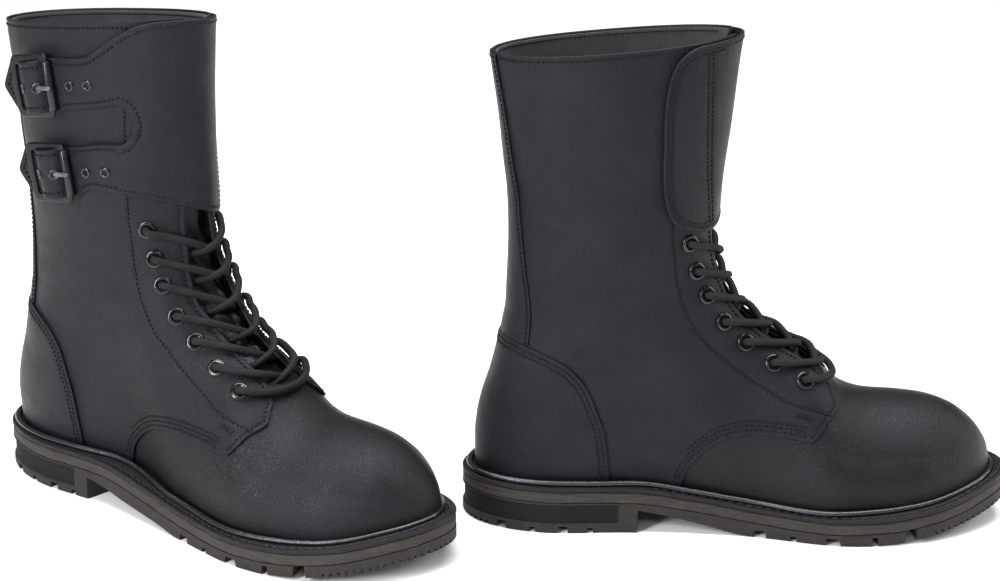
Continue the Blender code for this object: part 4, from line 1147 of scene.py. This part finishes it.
def capped(rings, low, high, pitch=6.0, rows=()):
    """Solid from a stack of outline rings, closed below and above by meshes that follow a height."""
    n = len(rings[0])
    verts = list(rings)
    faces = ring_walls(len(rings), n)
    at = n * len(rings)
    for index, height, up in ((0, low, False), (len(rings) - 1, high, True)):
        outline = rings[index][:, :2]
        extra = np.zeros((0, 2))
        if not up:
            for row in rows:
                extra = np.vstack([extra, row[inside(outline * (1, 0.985), row)]])
        v, f = triangulate([outline], pitch, extra)
        inner = v[n:]
        verts.append(np.column_stack([inner, height(*inner.T)]))
        for g in f:
            g = [index * n + i if i < n else at + i - n for i in g]
            faces.append(tuple(g) if up else tuple(reversed(g)))
        at += len(inner)
    return np.concatenate(verts), faces


def even_angles(pitch):
    a = np.linspace(0, 2 * pi, 4000)
    p = sole_edge(a)
    d = np.concatenate([[0], np.cumsum(np.linalg.norm(np.diff(p, axis=0), axis=1))])
    return np.interp(np.linspace(0, d[-1], int(d[-1] / pitch), endpoint=False), d, a)


def edge_ring(a, inset_by, z):
    p = sole_edge(a)
    d = sole_edge(a + 0.004) - sole_edge(a - 0.004)
    n = unit(np.stack([-d[:, 1], d[:, 0]], -1))
    p = p + n * np.broadcast_to(inset_by, len(a))[:, None]
    return np.column_stack([p, z])


MIDSOLE_TOP = WELT_THICK + GAP
OUTSOLE_TOP = WELT_THICK + MIDSOLE_THICK + 2 * GAP
# How far up the midsole's edge, and how far in.
MIDSOLE_EDGE = ((0.0, 0.3), (0.25, 0.05), (1.0, 0.0), (3.0, -0.05), (5.0, 0.0), (5.65, 0.25), (6.0, 0.7))


def midsole_shape():
    a = even_angles(1.3)
    x = sole_edge(a)[:, 0]
    wear = 0.22 * np.sin(x * 0.31) * np.sin(x * 0.113 + 1) + 0.12 * np.sin(a * 61)
    rings = []
    for off, cut_in in MIDSOLE_EDGE:
        z = sole_top(x) - MIDSOLE_TOP - MIDSOLE_THICK + off
        rings.append(edge_ring(a, 0.25 + cut_in + wear * 0.5, z))
    return capped(rings, lambda x, y: sole_top(x) - MIDSOLE_TOP - MIDSOLE_THICK,
                  lambda x, y: sole_top(x) - MIDSOLE_TOP, 7.0)


BREAST = (97.0, 97.4)
NOTCHES = ((22, 5, 13, 4.2), (39, 3, 8, 3.2), (56, 5, 13, 4.2), (71, 3, 8, 3.2), (164, 6, 13, 4.2),
           (182, 3, 8, 3.2), (203, 7, 14, 4.2), (226, 3, 8, 5.2), (246, 6, 14, 7.2))
PANEL_LOW = 5.2


def heel_x(x, y):
    """Distance along the foot, counted so that the heel is shorter on its outer side."""
    return x + (7.5 - 0.21 * y) * ease((150 - x) / 50)


def tread_low(x, y):
    q = heel_x(x, y)
    return np.where(q < (BREAST[0] + BREAST[1]) / 2, 0.0, glide(ARCH_X, ARCH_Z, q))


def breast_row(q):
    """Places across the sole where the heel's front face begins or ends."""
    y = np.arange(-60, 60, 0.9)
    x = np.full(len(y), float(q))
    for _ in range(30):
        x = x - (heel_x(x, y) - q)
    return np.stack([x, y], -1)


def outsole_shape():
    """Tread with a heel breast, chamfered edges and a sunk panel round the heel."""
    a = even_angles(1.3)
    marks = []
    for q in BREAST:
        for lo, hi in ((0.3, 1.6), (2 * pi - 1.6, 2 * pi - 0.3)):
            fine = np.linspace(lo, hi, 6000)
            marks.append(fine[np.argmin(np.abs(heel_x(*sole_edge(fine).T) - q))])
    a = np.array([v for v in a if np.min(np.abs(v - np.array(marks))) > 0.004])
    a = np.sort(np.concatenate([a, marks]))
    x, y = sole_edge(a).T
    low = tread_low(x, y)
    top = sole_top(x) - OUTSOLE_TOP
    sunk = 1.1 * ease((88 - heel_x(x, y)) / 1.5)
    rings = [edge_ring(a, 0.9, low), edge_ring(a, 0.25, low + 0.25), edge_ring(a, 0.0, low + 0.9)]
    mid = np.maximum(PANEL_LOW, low + 1.2)
    mid = np.minimum(mid, top - 2.2)
    mid = np.maximum(mid, low + 0.95)
    rings.append(edge_ring(a, 0.0, mid))
    rings.append(edge_ring(a, sunk, mid + 0.5))
    rings.append(edge_ring(a, sunk, np.maximum(top - 1.3, mid + 0.6)))
    rings.append(edge_ring(a, 0.0, np.maximum(top - 0.8, mid + 0.7)))
    rings.append(edge_ring(a, 0.0, np.maximum(top - 0.3, mid + 0.8)))
    rings.append(edge_ring(a, 0.15, np.maximum(top, mid + 0.85)))
    rows = [breast_row(q) for q in BREAST]
    return capped(rings, tread_low, lambda x, y: sole_top(x) - OUTSOLE_TOP, 7.0, rows)


def panel_faces(shape):
    """Which faces of the tread belong to the sunk panel round the heel."""
    v, faces = shape
    c = np.array([v[list(f)].mean(0) for f in faces])
    top = sole_top(c[:, 0]) - OUTSOLE_TOP
    return (heel_x(c[:, 0], c[:, 1]) < 87.5) & (c[:, 2] > PANEL_LOW + 0.4) & (c[:, 2] < top - 1.2)


def tread_cuts():
    """Slanted boxes that cut the tread's notches and fine teeth."""
    verts, faces = [], []

    def box(angle, wide, deep, low, high):
        p = sole_edge(angle)
        d = sole_edge(angle + 0.01) - sole_edge(angle - 0.01)
        fore = unit(d)
        inward = np.array([-fore[1], fore[0]])
        base = len(verts)
        for z, grow in ((low, wide * 0.18), (high, 0.0)):
            for u, w in ((-1, -6), (1, -6), (1, deep), (-1, deep)):
                q = p + fore * u * (wide / 2 + grow) + inward * w
                verts.append((q[0], q[1], z))
        faces.extend(tuple(base + i for i in f) for f in
                     ((0, 3, 2, 1), (4, 5, 6, 7), (0, 1, 5, 4), (1, 2, 6, 5), (2, 3, 7, 6), (3, 0, 4, 7)))

    for x, wide, deep, high in NOTCHES:
        angle = np.arccos(1 - 2 * x / SOLE_LENGTH)
        for q in (angle, 2 * pi - angle):
            floor = float(tread_low(*sole_edge(q)))
            box(q, wide, deep + 6, floor - 3.0, floor + high)
    for q in even_angles(4.1):
        x, y = sole_edge(q)
        floor = float(tread_low(x, y))
        if x > 258:
            box(q, 1.5, 3.4, floor - 2.0, floor + 2.3)
        elif x < 15:
            box(q, 1.5, 3.0, floor - 2.0, floor + 2.2)
    return outward((np.array(verts), faces))


def subtract(shape, tool):
    """Cut one closed shape out of another."""
    objects = []
    for v, f in (shape, tool):
        me = bpy.data.meshes.new("cutting")
        me.from_pydata(np.asarray(v).tolist(), [], [tuple(int(i) for i in g) for g in f])
        ob = bpy.data.objects.new("cutting", me)
        bpy.context.scene.collection.objects.link(ob)
        objects.append(ob)
    body, knife = objects
    modifier = body.modifiers.new("cut", "BOOLEAN")
    modifier.operation = "DIFFERENCE"
    modifier.solver = "MANIFOLD"
    modifier.object = knife
    done = body.evaluated_get(bpy.context.evaluated_depsgraph_get()).to_mesh()
    verts = np.array([tuple(v.co) for v in done.vertices])
    faces = [tuple(p.vertices) for p in done.polygons]
    for ob in objects:
        me = ob.data
        bpy.data.objects.remove(ob)
        bpy.data.meshes.remove(me)
    return verts, faces


WRAP_FOLD = (0, .15, .19, .22, .27, .5)
WRAP = (3.4, 3.4, 1.4, 1.2, -0.6, -0.8)


def feather(k):
    """How far the bead stands out from the skin round the foot, at loop position k."""
    return glide(WRAP_FOLD, WRAP, np.abs((k + 0.5) % 1.0 - 0.5))


def room(k):
    """0 where the bead fills the welt, 1 where there is room for stitching."""
    return ease((np.abs((k + 0.5) % 1.0 - 0.5) - 0.165) / 0.05)


# The welt's outer edge as (in, down from its top), then its stitched groove as (in, up).
WELT_RIM = ((0.0, 1.9), (0.0, 0.6), (0.18, 0.18), (0.6, 0.0))
WELT_GROOVE = ((2.0, 0.0), (2.35, -0.35), (2.7, -0.62), (3.3, -0.7), (3.8, -0.6), (4.15, -0.3), (4.5, 0.0))


def welt_shape():
    n = 620
    k = np.arange(n) / n
    a = 2 * pi * k
    x = sole_edge(a)[:, 0]
    z = sole_top(x)
    g = room(k)
    rings = [edge_ring(a, 0.5, z - WELT_THICK), edge_ring(a, 0.15, z - WELT_THICK + 0.25)]
    rings += [edge_ring(a, across, z - down) for across, down in WELT_RIM]
    for across, sink in WELT_GROOVE:
        rings.append(edge_ring(a, 0.8 + (across - 0.8) * g, z + sink * g))
    for out in (0.4, -5.0):
        p = skin(k, np.zeros(n), feather(k) + out)
        rings.append(np.column_stack([p[:, :2], sole_top(p[:, 0])]))
    return capped(rings, lambda x, y: sole_top(x) - WELT_THICK, lambda x, y: sole_top(x), 7.0)


def bead_shape():
    """Round bead between the upper and the welt."""
    n = 620
    k = np.arange(n) / n
    rings = []
    for q in np.linspace(0, 2 * pi, 16, endpoint=False):
        p = skin(k, np.zeros(n), feather(k) + 1.35 + 1.75 * cos(q))
        rings.append(np.column_stack([p[:, :2], sole_top(p[:, 0]) + 1.5 + 1.6 * sin(q)]))
    v = np.concatenate(rings)
    faces = ring_walls(16, n) + [(15 * n + j, 15 * n + (j + 1) % n, (j + 1) % n, j) for j in range(n)]
    return outward((v, faces))


def welt_seam():
    n = 900
    k = np.linspace(0.20, 0.80, n)
    a = 2 * pi * k
    z = sole_top(sole_edge(a)[:, 0])
    p = edge_ring(a, 0.8 + 2.5 * room(k), z - 0.45)
    return [(p, np.tile((0.0, 0.0, 1.0), (n, 1)))]


# ---- buckles -------------------------------------------------------------------------------
def buckle_axes(spec):
    """Middle of the bar and the frame's own axes: forward, across, outward."""
    o, fore, across, n = buckle_frame_axes(*spec)
    bar = o + n * BAR_HEIGHT
    return bar, unit(fore - n * FRAME_PITCH), across, unit(n + fore * FRAME_PITCH)


def rounded_box(x0, x1, y0, y1, r):
    out = []
    corners = ((x1 - r, y1 - r), (x0 + r, y1 - r), (x0 + r, y0 + r), (x1 - r, y0 + r))
    for k, (cx, cy) in enumerate(corners):
        for a in np.linspace(radians(90 * k), radians(90 * k + 90), 9):
            out.append((cx + r * cos(a), cy + r * sin(a)))
    return np.array(out)


FRAME_HALF = 16.0
ROLLER_AT = 13.4
ROLLER_HALF = 12.8


def frame_shape(spec):
    bar, lean, across, out = buckle_axes(spec)
    outline = rounded_box(-14.4, 14.3, -FRAME_HALF, FRAME_HALF, 3.2)
    holes = [rounded_box(-11.7, -1.1, -12.9, 12.9, 1.4), rounded_box(1.1, 12.2, -13.2, 13.2, 1.2)]
    v, f = fill(outline, 0.8, holes)
    crown = 0.35 * np.cos(np.clip(v[:, 1] / FRAME_HALF, -1, 1) * pi / 2)
    p = bar + lean * v[:, :1] + across * v[:, 1:] + out * (0.75 + crown)[:, None]
    return shell(p, np.tile(out, (len(p), 1)), f, 1.8, 0.62)


def roller_shape(spec):
    bar, lean, across, _ = buckle_axes(spec)
    half = [(ROLLER_RADIUS, 12.4), (ROLLER_RADIUS - 0.35, ROLLER_HALF), (1.5, ROLLER_HALF)]
    profile = [(r, -h) for r, h in half[::-1]] + half
    return outward(turned(profile, bar + lean * ROLLER_AT, across, 32))


def strip(path, half_wide, half_thick, o, fore, across, n, sides=14):
    """Rounded bar along a path of (along, out) places; the half sizes may vary."""
    path = np.asarray(path, float)
    m = len(path)
    wide = np.broadcast_to(half_wide, m)
    thick = np.broadcast_to(half_thick, m)
    d = unit(np.gradient(path, axis=0))
    verts = []
    for k in range(m):
        q = np.array((-d[k, 1], d[k, 0]))
        for a in np.arange(sides) * 2 * pi / sides:
            c, s = cos(a), sin(a)
            e = path[k] + q * thick[k] * np.sign(s) * abs(s) ** 0.75
            verts.append(o + fore * e[0] + n * e[1] + across * wide[k] * np.sign(c) * abs(c) ** 0.75)
    return outward((np.array(verts), rod_faces(m, sides)))


# The prong past its eye, as (forward, outward) places.
PRONG_PATH = [(1.4, 2.75), (3.6, 3.1), (8.0, 3.12), (13.0, 3.1), (15.6, 3.05), (17.1, 2.6)]
PRONG_EYE = 2.08


def prong_shape(spec):
    bar, lean, across, out = buckle_axes(spec)
    turn = np.linspace(radians(335), radians(95), 22)[::3]
    eye = [(PRONG_EYE * cos(q), PRONG_EYE * sin(q)) for q in turn]
    path = spline(np.array(eye + PRONG_PATH), 8)
    m = len(path)
    u = np.linspace(0, 1, m)
    thick = np.where(u < 0.5, 0.42 + 0.4 * ease((u - 0.30) / 0.2), 0.82)
    thick = thick * (1 - 0.75 * ease((u - 0.965) / 0.035))
    wide = 1.2 * (1 - 0.7 * ease((u - 0.95) / 0.05))
    return strip(path, wide, thick, bar, lean, across, out)


def leg_fall(spec, e):
    """How far the leg falls away from the buckle's tangent plane."""
    o, _, _, n = buckle_frame_axes(*spec)
    p, _ = side_point(spec[0] + e, spec[1] + e * spec[2])
    return float((p - o) @ n)


def chape_shape(spec):
    """Short leather loop that holds a buckle's middle bar."""
    o, fore, across, n = buckle_frame_axes(*spec)
    turn = [(2.6 * cos(q), 2.6 * sin(q) + BAR_HEIGHT) for q in np.linspace(radians(255), radians(465), 16)]
    low = [(e, leg_fall(spec, e) + 1.2) for e in (-25, -18, -11)] + [(-4.5, 1.9)]
    high = [(-5.0, 5.8)] + [(e, leg_fall(spec, e) + 3.4) for e in (-11, -18, -25)]
    path = spline(np.array(low + turn[::2] + high), 5)
    b = np.array([-7.0, -5.0, -3.4, -1.8, 1.8, 3.4, 5.0, 7.0])
    m = len(b)
    d = unit(np.gradient(path, axis=0))
    q = np.stack([d[:, 1], -d[:, 0]], -1)
    p = np.array([[o + fore * e[0] + n * e[1] + across * y for y in b] for e in path]).reshape(-1, 3)
    norm = np.array([[fore * w[0] + n * w[1]] * m for w in q]).reshape(-1, 3)
    faces = []
    for i in range(len(path) - 1):
        for j in range(m - 1):
            if j == m // 2 - 1 and path[i, 0] > -4.0:
                continue
            g = i * m + j
            faces.append((g, g + 1, g + m + 1, g + m))
    v = p[list(faces[0])]
    if np.cross(v[1] - v[0], v[2] - v[0]) @ norm[faces[0][0]] < 0:
        faces = [tuple(reversed(g)) for g in faces]
    return shell(p, norm, faces, 1.0, 0.35)


# ---- lace ----------------------------------------------------------------------------------
def facing_at(t):
    return float(glide(FACING_T, FACING_S, t))


LACE_STEP = 0.38
LACE_DEEP = STAY_LIFT - STAY_THICK - 0.4 - 2 * GAP - LACE_RADIUS


def lace_knots():
    """Way points of the lace as (s, t, lift), from one hidden end to the other."""
    deep = LACE_DEEP

    def put(s, t, lift, inner):
        return (1 - s if inner else s, t, lift)

    def out_of(k, inner):
        s, t = EYELETS[k]
        return [put(s, t, deep - 0.1, inner), put(s, t, -4.4, inner), put(s, t, 2.2, inner),
                put(s + 0.010, t - 0.002, 3.9, inner)]

    def cross(k, inner, over):
        s, t = EYELETS[k]
        s2, t2 = EYELETS[k + 1]
        e1 = facing_at(t - 0.25 * (t - t2))
        e2 = facing_at(t2 + 0.25 * (t - t2))
        mid = 1.0 if over else -2.6
        return [put((s + e1) / 2, t - 0.10 * (t - t2), 2.7, inner),
                put(e1, t - 0.25 * (t - t2), 2.6, inner),
                put(0.5, (t + t2) / 2, mid, False),
                put(e2 - 0.001, t2 + 0.25 * (t - t2), deep, not inner),
                put((s2 + e2) / 2, t2 + 0.1 * (t - t2), deep - 0.1, not inner)]

    def strand(inner):
        pts = [put(.41, .915, deep, inner), put(.395, .87, deep, inner)]
        for k in range(6):
            pts += out_of(k, inner)
            pts += cross(k, inner, inner)
            inner = not inner
        return pts + out_of(6, inner), inner

    a, inner = strand(False)
    b, _ = strand(True)
    t = EYELETS[6][1]
    bar = [put(0.445, t - 0.002, 2.1, inner), put(0.475, t - 0.004, 2.0, inner),
           put(0.5, t - 0.005, 1.9, False),
           put(0.475, t - 0.004, 2.0, not inner), put(0.445, t - 0.002, 2.1, not inner)]
    return a + bar + b[::-1]


def lace_shape():
    """Round braided lace."""
    knots = np.array(lace_knots())
    p, _ = skin_at(knots[:, 0], knots[:, 1], knots[:, 2])
    path = along(spline(p, 12), LACE_STEP)
    for _ in range(3):
        path[1:-1] = (path[:-2] + 2 * path[1:-1] + path[2:]) / 4
    u = np.arange(len(path)) * LACE_STEP
    sides = 24
    v = np.arange(sides) * 2 * pi / sides
    weave = 2 * pi / 2.3
    a = np.sin(4 * v[None, :] + weave * u[:, None])
    b = np.sin(4 * v[None, :] - weave * u[:, None])
    r = 1.92 + 0.2 * np.maximum(a, b)
    return outward(tube(path, r, sides))


# ---- assembly ------------------------------------------------------------------------------
quarters = {}
eyelets = {}
upper_threads = []
for inner in (False, True):
    quarters[inner], lines = quarter_shapes(inner)
    eyelets[inner] = eyelet_shapes(inner)
    upper_threads += lines
counter, lines = counter_shape()
upper_threads += lines
backstay, lines = backstay_shape()
upper_threads += lines
gaiter, gaiter_lines = gaiter_shape()
lining, lines = lining_shape()
upper_threads += lines
strap_rings, strap_hole_shade = strap_trim()
thread = stitches(upper_threads)
gaiter_thread = stitches(gaiter_lines)
vamp = vamp_shape()
tongue = tongue_shape()
midsole = midsole_shape()
outsole = subtract(outsole_shape(), tread_cuts())
panel = panel_faces(outsole)
welt = welt_shape()
bead = bead_shape()
welt_thread = stitches(welt_seam(), 5.2, 4.3, 0.62, 0.12)
lace = lace_shape()

HIDDEN = {"shank": STEEL_LOOK, "puncture_plate": STEEL_LOOK, "toe_cap": STEEL_LOOK,
          "insole_board": BOARD_LOOK, "heel_stiffener": BOARD_LOOK, "footbed": FOOTBED_LOOK}

for foot in (Foot("right", RIGHT_AT, False), Foot("left", LEFT_AT, True)):
    for inner, word in ((False, "lateral"), (True, "medial")):
        foot.piece("quarter_" + word, quarters[inner], LEATHER_LOOK, "upper_leather", ["quarter_" + word])
        foot.piece("eyelets_" + word, eyelets[inner], ENAMEL_LOOK, "black_enamel", ["eyelet_stay_" + word])
    foot.piece("vamp", vamp, VAMP_LOOK, "upper_leather", ["vamp"])
    foot.piece("heel_counter", counter, LEATHER_LOOK, "upper_leather", ["heel_counter"])
    foot.piece("backstay", backstay, LEATHER_LOOK, "upper_leather", ["backstay"])
    foot.piece("gaiter", gaiter, LEATHER_LOOK, "upper_leather", ["gaiter"])
    foot.piece("strap_rings", strap_rings, ENAMEL_LOOK, "black_enamel")
    # Matte dark discs in the strap holes: painted shade.
    foot.piece("strap_hole_shade", strap_hole_shade, PANEL_AND_HOLE_SHADE_LOOK, "black_enamel")
    foot.piece("thread", thread, THREAD_LOOK, "upper_leather")
    foot.piece("gaiter_thread", gaiter_thread, THREAD_LOOK, "upper_leather")
    foot.piece("tongue", tongue, TONGUE_LOOK, "tongue_leather", ["tongue"])
    foot.piece("lining", lining, LINING_LOOK, "lining", ["lining"])
    foot.piece("midsole", midsole, MIDSOLE_LOOK, "midsole", ["midsole"], sharp=50)
    tread = foot.piece("outsole", outsole, OUTSOLE_LOOK, "outsole_rubber", ["outsole"], sharp=32)
    tread.data.materials.append(PANEL_AND_HOLE_SHADE_LOOK)
    tread.data.polygons.foreach_set("material_index", panel.astype(np.int32))
    foot.piece("welt", welt, WELT_LOOK, "welt", ["welt"], sharp=50)
    foot.piece("bead", bead, RAND_LOOK, "welt")
    foot.piece("welt_thread", welt_thread, WELT_THREAD_LOOK, "welt")
    foot.piece("lace", lace, LACE_LOOK, "lace_cord", ["lace"])
    for label, spec in (("upper", BUCKLES[0]), ("lower", BUCKLES[1])):
        for part, shape, look in (("frame", frame_shape, BUCKLE_LOOK), ("roller", roller_shape, ROLLER_LOOK),
                                  ("prong", prong_shape, PRONG_HIGHLIGHT_LOOK)):
            name = "buckle_" + part + "_" + label
            body = foot.side + "_" + name
            foot.piece(name, shape(spec), look, "buckle_black", [name], body=body, sharp=50)
        foot.piece("chape_" + label, chape_shape(spec), LEATHER_LOOK, "upper_leather", ["chape_" + label])
    for name, look in HIDDEN.items():
        ob = bpy.data.objects[foot.side + "_" + name]
        ob.data.materials.clear()
        ob.data.materials.append(look)


# ---- studio --------------------------------------------------------------------------------
scene = bpy.context.scene
scene.view_settings.view_transform = "Standard"
scene.world = bpy.data.worlds.new("studio")
scene.world.use_nodes = True
sky = scene.world.node_tree.nodes["Background"]
sky.inputs["Color"].default_value = (1.0, 1.0, 1.0, 1.0)
sky.inputs["Strength"].default_value = 0.18

floor_look = Look("paper", Roughness=0.9, Specular_IOR_Level=0.1)
fibre = floor_look.noise(220.0, 4.0, 0.6)
floor_look.link(floor_look.colours(fibre, (0.3, (0.86, 0.86, 0.86)), (0.7, (0.88, 0.88, 0.88))),
                floor_look.shader.inputs["Base Color"])
floor_look.bump(fibre, 0.1, 0.0001)
me = bpy.data.meshes.new("floor")
me.from_pydata([(-30, -30, 0), (30, -30, 0), (30, 30, 0), (-30, 30, 0)], [], [(0, 1, 2, 3)])
me.materials.append(floor_look.mat)
floor = bpy.data.objects.new("floor", me)
scene.collection.objects.link(floor)


def softbox(name, at, size, power, aim=(0.0, 0.0, 0.12)):
    lamp = bpy.data.lights.new(name, "AREA")
    lamp.shape = "RECTANGLE"
    lamp.size, lamp.size_y = size
    lamp.energy = power
    ob = bpy.data.objects.new(name, lamp)
    ob.location = at
    ob.rotation_euler = (Vector(aim) - Vector(at)).to_track_quat("-Z", "Y").to_euler()
    scene.collection.objects.link(ob)


softbox("overhead", (0.0, 0.05, 1.55), (1.7, 1.0), 56.0)
softbox("left", (-1.1, -1.1, 0.85), (0.45, 1.0), 34.0, (-0.15, 0.05, 0.14))
softbox("right", (1.5, 0.1, 0.7), (0.3, 1.1), 14.0)
softbox("front", (0.1, -1.9, 1.5), (1.4, 0.4), 7.0)

lens = bpy.data.cameras.new("camera")
lens.lens = CAMERA_LENS
lens.sensor_width = 36.0
camera = bpy.data.objects.new("camera", lens)
camera.location = Vector(CAMERA_AT) + Vector((SHIFT[0], SHIFT[1], 0.0))
camera.rotation_euler = (radians(90 - CAMERA_PITCH), 0.0, 0.0)
scene.collection.objects.link(camera)
scene.camera = camera
